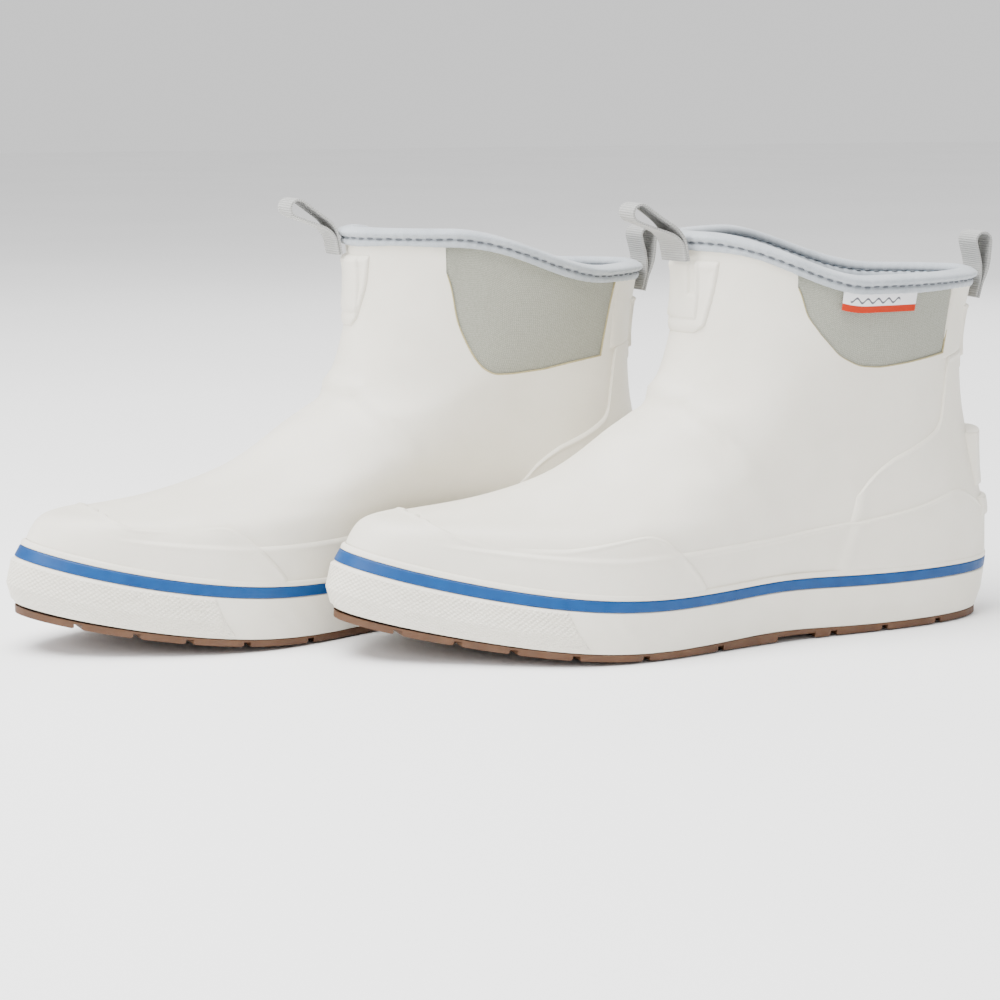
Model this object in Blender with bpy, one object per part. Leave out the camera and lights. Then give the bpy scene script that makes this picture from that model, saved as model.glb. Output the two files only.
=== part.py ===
"""A pair of ankle-high rubber deck boots, standing side by side, the right one a step ahead.

A boot is drawn in its own frame, in millimetres: x runs from the heel end (0) to the toe end
(LENGTH), y points to the outer side of the foot and z points up from the ground. The right boot
is the left one mirrored. Everything is turned into metres when its mesh is made.

Two numbers place a point on the upper: t is the height on the skin, from 0 at the top of the
rubber foxing to 1 at the collar's edge, and -1 at the lower edge of the foot wall inside the
foxing; phi is the way around it in degrees, 0 at the toe, 90 at the outer side, 180 at the heel.
"""
import bpy
import bmesh
import math
import numpy as np
from mathutils import Matrix, Vector

MM = 0.001
TINY = 1e-4

# Driving sizes of one boot, millimetres
LENGTH = 300.0
TOE_SPRING = 16.6              # how far the tread curves up at the toe
SPRING_START = 0.55            # where that curve starts, as a share of the length
OUTSOLE = 4.0                  # tread thickness, lugs included
ARCH_RISE = 1.3                # extra tread thickness under the arch
ARCH_PLACE = 0.38
ARCH_SPREAD = 0.10
STATIONS = (0.0, 0.13, 0.4, 0.68, 0.88, 1.0)
CENTRE = (0.0, 0.0, 7.5, 3.0, -2.9, -2.9)
SOLE_WIDTHS = (33.8, 32.4, 51.4, 40.0)   # half widths at heel, waist, ball and toes
SOLE_SQUARENESS = (4.4, 3.9)             # at the heel and at the toe

# Foxing: heights above the tread, and how far its face lies inside the sole's outline
WALL_HEIGHTS = (0.0, 7.0, 16.4, 21.3, 23.0)
WALL_FRONT = (3.0, 1.0, 3.5, 6.4, 7.2)
WALL_BACK = (4.5, 2.0, 0.6, 0.0, 0.0)
WALL_SIDE = (1.5, 0.0, 0.2, 0.4, 0.6)
TOE_RISE = 2.1                 # the foxing is this much taller at the toe
TOE_RISE_START = 0.7
BAND_TOP = 16.4
STRIPE_TOP = 21.3
BEAD_TOP = 23.0
BAND_THICKNESS = 2.6
STRIPE_THICKNESS = 1.4
GAP = 0.3

# The skin of the upper: one row for each ring, from the foxing to the collar.
# Front point x, z; back point x, z; half widths at heel, waist, ball and toes; squareness at
# the heel and at the toe.
RINGS = (
    (290.2, 46.0, 2.2, 27.3, 31.2, 29.8, 48.8, 37.4, 4.4, 3.9),
    (284.0, 53.8, 3.0, 43.8, 33.6, 32.2, 49.0, 39.4, 4.2, 3.8),
    (271.5, 55.4, 4.8, 53.6, 34.6, 33.2, 46.6, 38.6, 3.9, 3.5),
    (247.0, 57.6, 9.9, 70.5, 34.8, 33.8, 42.0, 36.8, 3.5, 3.1),
    (205.5, 69.2, 15.0, 90.2, 34.3, 34.0, 38.0, 34.0, 3.1, 2.7),
    (178.0, 86.0, 16.9, 110.0, 34.0, 35.0, 36.5, 33.5, 2.8, 2.4),
    (158.0, 102.5, 16.5, 125.8, 34.0, 36.5, 37.0, 34.0, 2.5, 2.2),
    (147.5, 139.0, 14.2, 140.0, 35.0, 38.0, 38.0, 35.0, 2.3, 2.15),
    (149.0, 168.5, 11.2, 150.5, 37.0, 39.5, 39.5, 36.5, 2.15, 2.15),
)
TOP_SLOPE_OUTER = (0.46, 0.93)  # where the collar climbs, on the outer and the inner side
TOP_SLOPE_INNER = (0.20, 0.76)
CENTRE_FADE = 0.8              # above this height the rings are centred on the heel-toe line

# Foot wall inside the foxing: its lower edge, a height above the tread and three insets
TUCK_HEIGHT = 11.8
TUCK_INSET = (5.4, 5.4, 4.2)
RING_HEIGHT = 23.3             # the lowest ring's height above the tread, just clear of the bead

# Layers of the upper, as distances outwards from the skin
RUBBER = (-1.8, 0.0)
LINING = (-5.4, -2.6)
OVERLAY = (0.6, 1.4)
CAP_OVERLAY = (1.5, 2.3)
GORE = (-1.7, -0.3)
PATCH = (0.5, 2.6)
STAY = (0.5, 1.4)
COLLAR_OUT = 1.2
COLLAR_IN = -6.2
COLLAR_WALL = 0.7
COLLAR_HEIGHT = 7.0
COLLAR_CAP = 1.6

COLLAR_ROUND = (2.0, 1.0)      # how far down and in the collar's two rounded edges start

# Tread: cross grooves and the hollow under the arch, as places along the boot
GROOVES = (34.7, 63.3, 88.8, 146.4, 182.9, 212.3, 235.7, 255.9, 277.6)
GROOVE_WIDTH = 3.0
GROOVE_DEPTH = 2.0
ARCH_HOLLOW = (98, 117)
TREAD_INSETS = (0.6, 0.2)      # extra insets of the tread's lower and upper edge
CUTTER_REACH = 80.0            # how far a cutter runs to either side
CUTTER_DEEP = 5.0              # how far a cutter runs past the surface it opens

# Floor of the boot, as heights above the tread
MIDSOLE_TOP = 11.2
MIDSOLE_HEIGHTS = (GAP, 7.0, MIDSOLE_TOP)
SHANK = {"start": 66.0, "end": 176.0, "half": 9.0, "centre": 4.0, "thickness": 1.6}
SHANK_CLEARANCE = 0.4
SHANK_COLUMNS = 12
FLOOR_LINING = (13.6, 15.6)
FLOORS = (
    ("insole_board", 11.8, 13.3, RUBBER[0] - 0.5, "board"),
    ("footbed", 15.9, 20.4, LINING[0] - 0.7, "foam"),
)
FOOTBED_HINGE = (15.9, LINING[0] - 0.6)  # height above the tread and distance from the skin

# Columns around the boot, closer at the toe and the heel, and rows up the skin
HALF_TURN = (0, 12, 24, 36, 48, 60, 74, 88, 102, 116, 128, 140, 150, 160, 170, 180)
SKIN_ROWS = (-0.45, 0.0, 0.06, 0.13, 0.21, 0.30, 0.41, 0.53, 0.66, 0.79, 0.87, 0.93)

# Outlines on the skin, as (phi, t); a turn of phi is counted from the toe on either side
TOE_EDGE = ((-75, 0.03), (-66, 0.15), (-58, 0.175), (-46, 0.135), (-36, 0.15), (-18, 0.28),
            (0, 0.32), (18, 0.28), (36, 0.15), (50, 0.11), (64, 0.16), (76, 0.185), (88, 0.03))
GUARD_EDGE = ((72, 0.083), (89, 0.10), (101, 0.12), (111, 0.16), (122, 0.205), (133, 0.255),
              (148, 0.29), (162, 0.19), (180, 0.17))
COUNTER_EDGE = ((117, 0.36), (121, 0.41), (128, 0.44), (136, 0.475), (140, 0.51), (143, 0.56),
                (144, 0.68), (180, 0.68))
STAY_EDGE = ((0.69, 142), (0.92, 138))
GORE_OUTER = ((64, 0.93), (68, 0.86), (76, 0.81), (87, 0.75), (97, 0.715), (106, 0.70),
              (118, 0.695), (139, 0.695))
GORE_INNER = ((57, 0.93), (62, 0.85), (70, 0.80), (77, 0.76), (85, 0.72), (94, 0.695),
              (106, 0.675), (134, 0.665))
GORE_TOP = 0.94
GORE_COLUMNS = 11
GORE_ROWS = 4
WINDOW_LAYER = (-5.0, 3.0)     # the cutter of a gore's window
WINDOW_GROW = (0.8, 0.009, 0.008)  # the window is wider in phi, and lower and higher in t
FOOT = 0.01                    # lower edge of the pieces that start at the foxing
CAP_COLUMNS = (-75, -66, -58, -48, -36, -24, -12, 0, 12, 24, 36, 48, 60, 68, 76, 88)
CAP_ROWS = 7
GUARD_HALF = (89, 102, 116, 128, 140, 148, 155, 162, 171)
GUARD_END = 284                # the guard runs on to here on the inner side
GUARD_ROWS = 3
COUNTER_HALF = (117, 121, 128, 136, 140, 143, 144, 150, 160, 170)
COUNTER_GAP = 0.015            # between the guard's edge and the counter's, in t
COUNTER_ROWS = 6
STAY_ROWS = (0.69, 0.79, 0.86, 0.90)
STRIP_COLUMNS = 9              # columns of the narrow pieces

# Pull patches: rows of t, first phi, last phi
FRONT_PATCH = ((0.842, -9, 19), (0.86, -14, 25), (0.89, -18, 29), (0.937, -21, 32))
REAR_PATCH = ((0.61, 167, 193), (0.69, 165, 195), (0.77, 160, 200), (0.84, 154, 206))
PULL_PATCH_BASE = (0.4, 1.8)   # how far they stand off, the rear one clear of the back stay
KICK_TAB = ((0.315, 2.6), (0.36, 3.4), (0.41, 4.8), (0.455, 6.6))   # t and how proud it is
KICK_TAB_TURN = 160.0
HEEL_RIB = ((0.19, 2.9), (0.265, 2.4))
TAB_COLUMNS = 7
TAB_LIFT = 0.5                 # between the counter and the back of a tab
LABEL = {"phi": (81.0, 111.0), "t": (0.82, 0.90), "layer": (0.1, 0.9), "rows": 3}
TOE_PUFF = {"turn": 42.0, "t": (-0.3, 0.16)}
STIFFENER = {"turn": 137.0, "t": (-0.3, 0.33)}
STIFFENING = (-3.4, -2.6)      # the layer that holds the toe puff and the heel stiffener
STIFFENING_ROWS = 6
STIFFENED_DIP = 1.6            # the lining is this much thinner there
TOE_DIP = ((50, 72), (0.22, 0.38))     # where that fades out, in turn from the toe and in t
HEEL_DIP = ((108, 130), (0.38, 0.48))
TOE_BUMPER = {"phi": (-58.0, 66.0), "heights": (0.5, 7.0, 15.8), "proud": (0.5, 1.4),
              "columns": 15}

# Webbing loops
LOOP_WIDTH = 15.0
LOOP_WEB = 1.1
FRONT_LOOP = {"t": 0.945, "phi": 10.0, "length": 33.0, "lean": 43.0}
REAR_LOOP = {"t": 0.870, "phi": 180.0, "length": 29.0, "lean": 100.0}
LOOP_BASE = 1.6                # radius of the sewn end
LOOP_TIP = 4.8
LOOP_STAND_OFF = 5.3
LOOP_SEWN = 7.0                # the two layers are sewn together up to here
LOOP_STEPS = 20
LOOP_HEEL = 0.5                # radius of the hole's end above the seam

# The pair: the left boot's place, and the right boot's place beside it
LEFT_PLACE = (34.75, 59.7)
RIGHT_ASIDE = 72.4
RIGHT_AHEAD = 120.6
RIGHT_TURN = 4.8               # degrees, toe inwards

# Colour (linear), roughness and metallic value of each finish
FINISHES = {
    "white_rubber": ((0.80, 0.78, 0.72), 0.55, 0.0),
    "blue_rubber": ((0.01, 0.14, 0.45), 0.5, 0.0),
    "gum_rubber": ((0.31, 0.14, 0.06), 0.6, 0.0),
    "binding": ((0.50, 0.54, 0.58), 0.8, 0.0),
    "gore": ((0.36, 0.38, 0.34), 0.9, 0.0),
    "lining": ((0.30, 0.35, 0.40), 0.9, 0.0),
    "webbing": ((0.50, 0.51, 0.50), 0.8, 0.0),
    "label": ((0.82, 0.80, 0.76), 0.7, 0.0),
    "foam": ((0.55, 0.55, 0.52), 0.9, 0.0),
    "board": ((0.42, 0.33, 0.22), 0.9, 0.0),
    "steel": ((0.55, 0.55, 0.56), 0.35, 1.0),
}


def natural_cubic(knots, values, at):
    """The natural cubic spline through values (one row for each knot), read at many places."""
    knots = np.asarray(knots, float)
    values = np.asarray(values, float)
    step = np.diff(knots)
    size = len(knots)
    system = np.eye(size)
    right = np.zeros_like(values)
    for i in range(1, size - 1):
        system[i, i - 1:i + 2] = step[i - 1], 2 * (step[i - 1] + step[i]), step[i]
        rise = (values[i + 1] - values[i]) / step[i] - (values[i] - values[i - 1]) / step[i - 1]
        right[i] = 6 * rise
    bend = np.linalg.solve(system, right)
    cell = np.clip(np.searchsorted(knots, at) - 1, 0, size - 2)
    width = step[cell][:, None]
    past = at[:, None] - knots[cell][:, None]
    left = width - past
    cubic = (bend[cell] * left ** 3 + bend[cell + 1] * past ** 3) / (6 * width)
    near = (values[cell] / width - bend[cell] * width / 6) * left
    far = (values[cell + 1] / width - bend[cell + 1] * width / 6) * past
    return cubic + near + far


def ease(low, high, value):
    """A smooth step from 0 at low to 1 at high."""
    share = np.clip((value - low) / (high - low), 0.0, 1.0)
    return share * share * (3 - 2 * share)


def six(widths):
    """Half widths at the six stations from those at heel, waist, ball and toes."""
    heel, waist, ball, toes = [widths[..., i] for i in range(4)]
    return np.stack([heel - 1, heel, waist, ball, toes, 0.907 * toes], axis=-1)


def along(values, share):
    """Station values read at a share of the length."""
    weights = natural_cubic(STATIONS, np.eye(len(STATIONS)), share)
    return (weights * values).sum(axis=1)


def outer_side(phi):
    return np.where(np.sin(phi) >= 0, 1.0, -1.0)


def ground_lift(share):
    return TOE_SPRING * np.clip((share - SPRING_START) / (1 - SPRING_START), 0, None) ** 2


def wall_z(height, share):
    """Height above ground of a line on the foxing that lies a height above the tread."""
    arch = ARCH_RISE * np.exp(-((share - ARCH_PLACE) / ARCH_SPREAD) ** 2)
    toe = TOE_RISE * np.clip((share - TOE_RISE_START) / (1 - TOE_RISE_START), 0, None) ** 2
    return ground_lift(share) + OUTSOLE + arch + height + toe * np.clip(height / BAND_TOP, 0, 1)


def sole_point(phi, height, insets):
    """A point on the sole's wall, moved in by insets at the front, the back and the sides."""
    front, back, side = insets
    turn = np.cos(phi)
    share = (1 + turn) / 2
    x = back + (LENGTH - front - back) * share
    half = along(np.broadcast_to(six(np.array(SOLE_WIDTHS)), (len(phi), 6)), share) - side
    squareness = SOLE_SQUARENESS[0] + (SOLE_SQUARENESS[1] - SOLE_SQUARENESS[0]) * share
    bulge = np.sqrt(np.clip(1 - np.abs(turn) ** squareness, 0, None))
    y = along(np.array(CENTRE), share) + outer_side(phi) * half * bulge
    return np.stack([x, y, wall_z(height, share)], axis=1)


def wall_insets(height, extra=0.0):
    """The foxing face's three insets at a height, plus an extra one all around."""
    rows = (WALL_FRONT, WALL_BACK, WALL_SIDE)
    return [np.interp(height, WALL_HEIGHTS, row) + extra for row in rows]


def upper_point(t, phi):
    """The skin above the foxing: rings that lean from the back point to the front point."""
    ring = natural_cubic(np.linspace(0, 1, len(RINGS)), np.array(RINGS), t)
    front_x, front_z, back_x, back_z = ring[:, :4].T
    turn = np.cos(phi)
    share = (1 + turn) / 2
    squareness = ring[:, 8] + (ring[:, 9] - ring[:, 8]) * share
    bulge = np.sqrt(np.clip(1 - np.abs(turn) ** squareness, 0, None))
    side = outer_side(phi)
    fade = 1 - ease(0.0, CENTRE_FADE, t)
    y = along(np.array(CENTRE), share) * fade + side * along(six(ring[:, 4:8]), share) * bulge
    back, front = wall_z(RING_HEIGHT, np.array([0.0, 1.0]))
    low = (wall_z(RING_HEIGHT, share) - back) / (front - back)
    top = np.where(side > 0, ease(*TOP_SLOPE_OUTER, share), ease(*TOP_SLOPE_INNER, share))
    low_weight = 1 - ease(0.0, 0.35, t)
    top_weight = ease(0.55, 1.0, t)
    slope = low * low_weight + top * top_weight + share * (1 - low_weight - top_weight)
    return np.stack([back_x + (front_x - back_x) * share, y,
                     back_z + (front_z - back_z) * slope], axis=1)


def skin(t, phi):
    """A point on the skin; below t = 0 it is the foot wall, hidden by the foxing."""
    point = upper_point(np.clip(t, 0, None), phi)
    foot = sole_point(phi, TUCK_HEIGHT, TUCK_INSET)
    down = np.clip(-t, 0, None)[:, None]
    return point + (foot - point) * down


def shell(t, phi_degrees, offset):
    """Points at a distance from the skin, along its outward normal."""
    t, phi, offset = np.broadcast_arrays(np.asarray(t, float), np.radians(phi_degrees), offset)
    step = 1e-3
    up = skin(t + step, phi) - skin(t - step, phi)
    around = skin(t, phi + step) - skin(t, phi - step)
    normal = np.cross(around, up)
    normal /= np.linalg.norm(normal, axis=1)[:, None]
    return skin(t, phi) + normal * offset[:, None]


def wall_height_t(height):
    """t on the foot wall for a height above the tread."""
    return (height - TUCK_HEIGHT) / (RING_HEIGHT - TUCK_HEIGHT) - 1


ALL_AROUND = np.array(HALF_TURN + tuple(360 - turn for turn in HALF_TURN[-2:0:-1]), float)
ROUND = len(ALL_AROUND)


def collar_t(phi_degrees, below):
    """t of the line that runs a distance below the collar's edge."""
    phi = np.radians(phi_degrees)
    ones = np.ones_like(phi)
    pace = np.linalg.norm(upper_point(ones, phi) - upper_point(ones - TINY, phi), axis=1) / TINY
    return 1 - below / pace


# Meshes ------------------------------------------------------------------------------------

class Boot:
    """Places the pieces of one boot: its name, its side and its standing frame."""

    def __init__(self, name, side, aside, ahead, turn):
        self.name = name
        self.side = side
        self.frame = bpy.data.objects.new(name + "_boot_frame", None)
        self.frame.location = (aside * MM, ahead * MM, 0.0)
        self.frame.rotation_euler = (0.0, 0.0, math.radians(turn))
        bpy.context.collection.objects.link(self.frame)

    def to_frame(self, point):
        """Millimetres in the boot's own axes to metres in its standing frame."""
        x, y, z = point
        return (self.side * y * MM, (LENGTH / 2 - x) * MM, z * MM)

    def add(self, name, points, faces, finish, pivot=None, cutter=False):
        """Make the object of one piece from its points and faces."""
        mesh = bpy.data.meshes.new(self.name + "_" + name)
        mesh.from_pydata([self.to_frame(p) for p in points], [], faces)
        work = bmesh.new()
        work.from_mesh(mesh)
        bmesh.ops.remove_doubles(work, verts=work.verts, dist=TINY * MM)
        bmesh.ops.recalc_face_normals(work, faces=work.faces)
        bmesh.ops.triangulate(work, faces=work.faces, quad_method="SHORT_EDGE")
        work.to_mesh(mesh)
        work.free()
        piece = bpy.data.objects.new(self.name + "_" + name, mesh)
        bpy.context.collection.objects.link(piece)
        piece.parent = self.frame
        if pivot is not None:
            place = self.to_frame(pivot)
            mesh.transform(Matrix.Translation(Vector(place)).inverted())
            piece.location = place
        if cutter:
            piece.hide_render = True
            piece.display_type = "WIRE"
            return piece
        mesh.materials.append(finish_material(finish))
        mesh.shade_smooth()
        mesh.set_sharp_from_angle(angle=math.radians(40))
        return piece


def finish_material(finish):
    """One material for each finish, shared by the pieces that have it."""
    material = bpy.data.materials.get(finish)
    if material is None:
        colour, roughness, metallic = FINISHES[finish]
        material = bpy.data.materials.new(finish)
        material.use_nodes = True
        shader = material.node_tree.nodes["Principled BSDF"]
        shader.inputs["Base Color"].default_value = (*colour, 1.0)
        shader.inputs["Roughness"].default_value = roughness
        shader.inputs["Metallic"].default_value = metallic
        material.diffuse_color = (*colour, 1.0)
    return material


def bridge(first, second, count, closed=True):
    """Quads between two rows of count points that start at first and second."""
    last = count if closed else count - 1
    quads = []
    for i in range(last):
        j = (i + 1) % count
        quads.append((first + i, first + j, second + j, second + i))
    return quads


def lid(start, count):
    """Strips across a loop that joins each outer point with its inner twin."""
    half = count // 2
    strips = [(start, start + 1, start + count - 1)]
    for i in range(1, half - 1):
        strips.append((start + i, start + i + 1, start + count - i - 1, start + count - i))
    strips.append((start + half - 1, start + half, start + half + 1))
    return strips


def ring_solid(loops):
    """A closed ring: each loop is joined to the next one and the last to the first."""
    count = len(loops[0])
    faces = []
    for i in range(len(loops)):
        faces += bridge(i * count, ((i + 1) % len(loops)) * count, count)
    return np.concatenate(loops), faces


def lidded_solid(loops):
    """A stack of loops closed by a lid at each end."""
    count = len(loops[0])
    faces = []
    for i in range(len(loops) - 1):
        faces += bridge(i * count, (i + 1) * count, count)
    faces += lid(0, count) + lid((len(loops) - 1) * count, count)
    return np.concatenate(loops), faces


def sheet_solid(outer, inner):
    """A closed slab between two grids of points of the same shape."""
    rows, columns = outer.shape[:2]
    size = rows * columns
    points = np.concatenate([outer.reshape(size, 3), inner.reshape(size, 3)])
    faces = []
    for r in range(rows - 1):
        for side in (0, size):
            start = side + r * columns
            faces += bridge(start, start + columns, columns, closed=False)
    edge = [c for c in range(columns)]
    edge += [r * columns + columns - 1 for r in range(1, rows)]
    edge += [(rows - 1) * columns + c for c in range(columns - 2, -1, -1)]
    edge += [r * columns for r in range(rows - 2, 0, -1)]
    for i, a in enumerate(edge):
        b = edge[(i + 1) % len(edge)]
        faces.append((a, b, size + b, size + a))
    return points, faces


def skin_sheet(t, phi, layer):
    """A slab on the skin from grids of t and phi, between two distances from it."""
    grids = []
    for offset in (layer[1], layer[0]):
        offset = np.broadcast_to(offset, t.shape).ravel()
        grids.append(shell(t.ravel(), phi.ravel(), offset).reshape(*t.shape, 3))
    return sheet_solid(*grids)


def columns_sheet(phi, low, high, rows, layer):
    """A slab whose columns stand at phi and reach from low to high."""
    share = np.linspace(0, 1, rows)[:, None]
    return skin_sheet(low + (high - low) * share, np.broadcast_to(phi, (rows, len(phi))), layer)


def rows_sheet(t, start, end, columns, layer):
    """A slab whose rows lie at t and reach from phi start to phi end."""
    share = np.linspace(0, 1, columns)
    phi = start[:, None] + (end - start)[:, None] * share
    return skin_sheet(np.broadcast_to(t[:, None], phi.shape), phi, layer)


def read_edge(edge, at):
    knots = np.array(edge, float)
    return np.interp(at, knots[:, 0], knots[:, 1])


# Pieces of the sole ------------------------------------------------------------------------

def loop_at(height, insets):
    return sole_point(np.radians(ALL_AROUND), height, insets)


def wall_band(heights, thickness):
    """A ring of the foxing from its lowest to its highest height."""
    outside = [loop_at(h, wall_insets(h)) for h in heights]
    inside = [loop_at(h, wall_insets(h, thickness)) for h in reversed(heights)]
    return ring_solid(outside + inside)


def outsole(boot):
    """The gum tread: full outline, flat lugs between cross grooves, a hollow under the arch."""
    bottom = loop_at(0.0, wall_insets(0.0, TREAD_INSETS[0]))
    top = loop_at(-GAP, wall_insets(0.0, TREAD_INSETS[1]))
    share = (1 + np.cos(np.radians(ALL_AROUND))) / 2
    bottom[:, 2] = ground_lift(share)
    points, faces = lidded_solid([bottom, top])
    tread = boot.add("outsole", points, faces, "gum_rubber")
    grooves = []
    for x in GROOVES:
        lift = float(ground_lift(np.array([x / LENGTH]))[0])
        grooves.append((x - GROOVE_WIDTH / 2, x + GROOVE_WIDTH / 2, lift))
    grooves.append((*ARCH_HOLLOW, 0.0))
    points, faces = [], []
    for start, end, lift in grooves:
        first = len(points)
        for z in (-CUTTER_DEEP, lift + GROOVE_DEPTH):
            points += [(start, -CUTTER_REACH, z), (end, -CUTTER_REACH, z),
                       (end, CUTTER_REACH, z), (start, CUTTER_REACH, z)]
        box = ((0, 1, 2, 3), (4, 5, 6, 7), (0, 1, 5, 4), (1, 2, 6, 5), (2, 3, 7, 6), (3, 0, 4, 7))
        faces += [tuple(first + i for i in face) for face in box]
    subtract(tread, boot.add("groove_cutter", points, faces, None, cutter=True))


def subtract(piece, cutter):
    cut = piece.modifiers.new(cutter.name, "BOOLEAN")
    cut.operation = "DIFFERENCE"
    cut.solver = "EXACT"
    cut.object = cutter


def midsole(boot):
    """The foam wedge inside the foxing, with an open groove for the shank."""
    loops = [loop_at(h, wall_insets(h, BAND_THICKNESS + 2 * GAP)) for h in MIDSOLE_HEIGHTS]
    points, faces = lidded_solid(loops)
    foam = boot.add("midsole", points, faces, "foam")
    points, faces = shank_solid(SHANK_CLEARANCE, MIDSOLE_TOP + CUTTER_DEEP)
    subtract(foam, boot.add("shank_cutter", points, faces, None, cutter=True))
    points, faces = shank_solid(0.0, MIDSOLE_TOP - GAP)
    boot.add("shank", points, faces, "steel")


def shank_solid(extra, top):
    """The shank's strip along the arch, or its groove when extra is added all around."""
    x = np.linspace(SHANK["start"] - extra, SHANK["end"] + extra, SHANK_COLUMNS)
    low = MIDSOLE_TOP - GAP - SHANK["thickness"] - extra
    grids = []
    for height in (top, low):
        z = wall_z(height, x / LENGTH)
        sides = [np.stack([x, np.full_like(x, SHANK["centre"] + side * (SHANK["half"] + extra)), z],
                          axis=1) for side in (-1, 1)]
        grids.append(np.stack(sides))
    return sheet_solid(*grids)


def floor_pieces(boot):
    """The lasting board under the lining and the loose footbed on top of it."""
    for name, low, high, offset, finish in FLOORS:
        loops = []
        for height in (low, high):
            t = np.full(ROUND, wall_height_t(height))
            loops.append(shell(t, ALL_AROUND, offset))
        points, faces = lidded_solid(loops)
        pivot = None
        if name == "footbed":
            pivot = footbed_hinge()
        boot.add(name, points, faces, finish, pivot)


def footbed_hinge():
    """The line across the front end of the footbed that it turns about when it is lifted."""
    height, offset = FOOTBED_HINGE
    return shell(np.array([wall_height_t(height)]), np.array([0.0]), offset)[0]


# Pieces of the upper -----------------------------------------------------------------------

def rubber_upper(boot):
    """The rubber shell, from inside the foxing to the collar, with a window for each gore."""
    rows = [np.full(ROUND, t) for t in (-1.0,) + SKIN_ROWS] + [collar_t(ALL_AROUND, COLLAR_CAP)]
    outside = [shell(t, ALL_AROUND, RUBBER[1]) for t in rows]
    inside = [shell(t, ALL_AROUND, RUBBER[0]) for t in reversed(rows)]
    points, faces = ring_solid(outside + inside)
    upper = boot.add("rubber_upper", points, faces, "white_rubber")
    for name, edge, side in gores():
        phi, low, high = gore_columns(edge, side, WINDOW_GROW)
        points, faces = columns_sheet(phi, low, high, GORE_ROWS, WINDOW_LAYER)
        subtract(upper, boot.add(name + "_cutter", points, faces, None, cutter=True))


def gores():
    return (("lateral_gore", GORE_OUTER, 1), ("medial_gore", GORE_INNER, -1))


def gore_columns(edge, side, grow):
    """Columns of a gore, or of its window when it grows to the sides, downwards and upwards."""
    knots = np.array(edge, float)
    phi = np.linspace(knots[0, 0], knots[-1, 0], GORE_COLUMNS)
    low = np.interp(phi, knots[:, 0], knots[:, 1]) - grow[1]
    phi[0] -= grow[0]
    phi[-1] += grow[0]
    return side * phi, low, np.full_like(low, GORE_TOP + grow[2])


def lining_face(t):
    """The lining's outer distance on one row, thinner where the stiffeners lie against it."""
    turn = np.minimum(ALL_AROUND, 360 - ALL_AROUND)
    toe = (1 - ease(*TOE_DIP[0], turn)) * (1 - ease(*TOE_DIP[1], t))
    heel = ease(*HEEL_DIP[0], turn) * (1 - ease(*HEEL_DIP[1], t))
    return LINING[1] - STIFFENED_DIP * (toe + heel)


def lining(boot):
    """The stretch lining, a bootie that is closed under the foot."""
    low, high = [wall_height_t(h) for h in FLOOR_LINING]
    rows = [np.full(ROUND, t) for t in SKIN_ROWS] + [collar_t(ALL_AROUND, COLLAR_CAP)]
    loops = [shell(t, ALL_AROUND, lining_face(t)) for t in [np.full(ROUND, low)] + rows]
    loops += [shell(t, ALL_AROUND, LINING[0]) for t in reversed(rows[1:])]
    loops += [shell(np.full(ROUND, high), ALL_AROUND, LINING[0])]
    points, faces = lidded_solid(loops)
    boot.add("lining", points, faces, "lining")


def stiffeners(boot):
    """The toe puff and the heel stiffener, between the rubber and the lining."""
    for name, plan, middle in (("toe_puff", TOE_PUFF, 0.0), ("heel_stiffener", STIFFENER, 180.0)):
        t = np.linspace(*plan["t"], STIFFENING_ROWS)
        ends = np.full_like(t, abs(middle - plan["turn"]))
        points, faces = rows_sheet(t, middle - ends, middle + ends, STRIP_COLUMNS, STIFFENING)
        boot.add(name, points, faces, "board")


def collar_binding(boot):
    """The bound edge: a channel that sits over the top of the upper and the lining."""
    wall_out, wall_in = COLLAR_OUT - COLLAR_WALL, COLLAR_IN + COLLAR_WALL
    down, aside = COLLAR_ROUND
    profile = ((COLLAR_HEIGHT, COLLAR_OUT), (down, COLLAR_OUT), (0.0, COLLAR_OUT - aside),
               (0.0, COLLAR_IN + aside), (down, COLLAR_IN), (COLLAR_HEIGHT, COLLAR_IN),
               (COLLAR_HEIGHT, wall_in), (COLLAR_CAP - GAP, wall_in),
               (COLLAR_CAP - GAP, wall_out), (COLLAR_HEIGHT, wall_out))
    loops = [shell(collar_t(ALL_AROUND, below), ALL_AROUND, out) for below, out in profile]
    points, faces = ring_solid(loops)
    boot.add("collar_binding", points, faces, "binding")


def turn_from_toe(phi):
    return np.minimum(phi, 360 - phi)


def overlays(boot):
    """Rubber pieces laid on the upper: toe cap, side guard, heel counter and back stay."""
    phi = np.array(CAP_COLUMNS, float)
    points, faces = columns_sheet(phi, np.full_like(phi, FOOT), read_edge(TOE_EDGE, phi),
                                  CAP_ROWS, CAP_OVERLAY)
    boot.add("toe_cap", points, faces, "white_rubber")
    half = np.array(GUARD_HALF, float)
    phi = np.concatenate([half, [180], 360 - half[::-1], [GUARD_END]])
    high = read_edge(GUARD_EDGE, turn_from_toe(phi))
    points, faces = columns_sheet(phi, np.full_like(phi, FOOT), high, GUARD_ROWS, OVERLAY)
    boot.add("side_guard", points, faces, "white_rubber")
    half = np.array(COUNTER_HALF, float)
    phi = np.concatenate([half, [180], 360 - half[::-1]])
    low = read_edge(GUARD_EDGE, turn_from_toe(phi)) + COUNTER_GAP
    high = read_edge(COUNTER_EDGE, turn_from_toe(phi))
    points, faces = columns_sheet(phi, low, high, COUNTER_ROWS, OVERLAY)
    boot.add("heel_counter", points, faces, "white_rubber")
    t = np.array(STAY_ROWS)
    edge = read_edge(STAY_EDGE, t)
    points, faces = rows_sheet(t, edge, 360 - edge, STRIP_COLUMNS, STAY)
    boot.add("back_stay", points, faces, "white_rubber")


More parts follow.
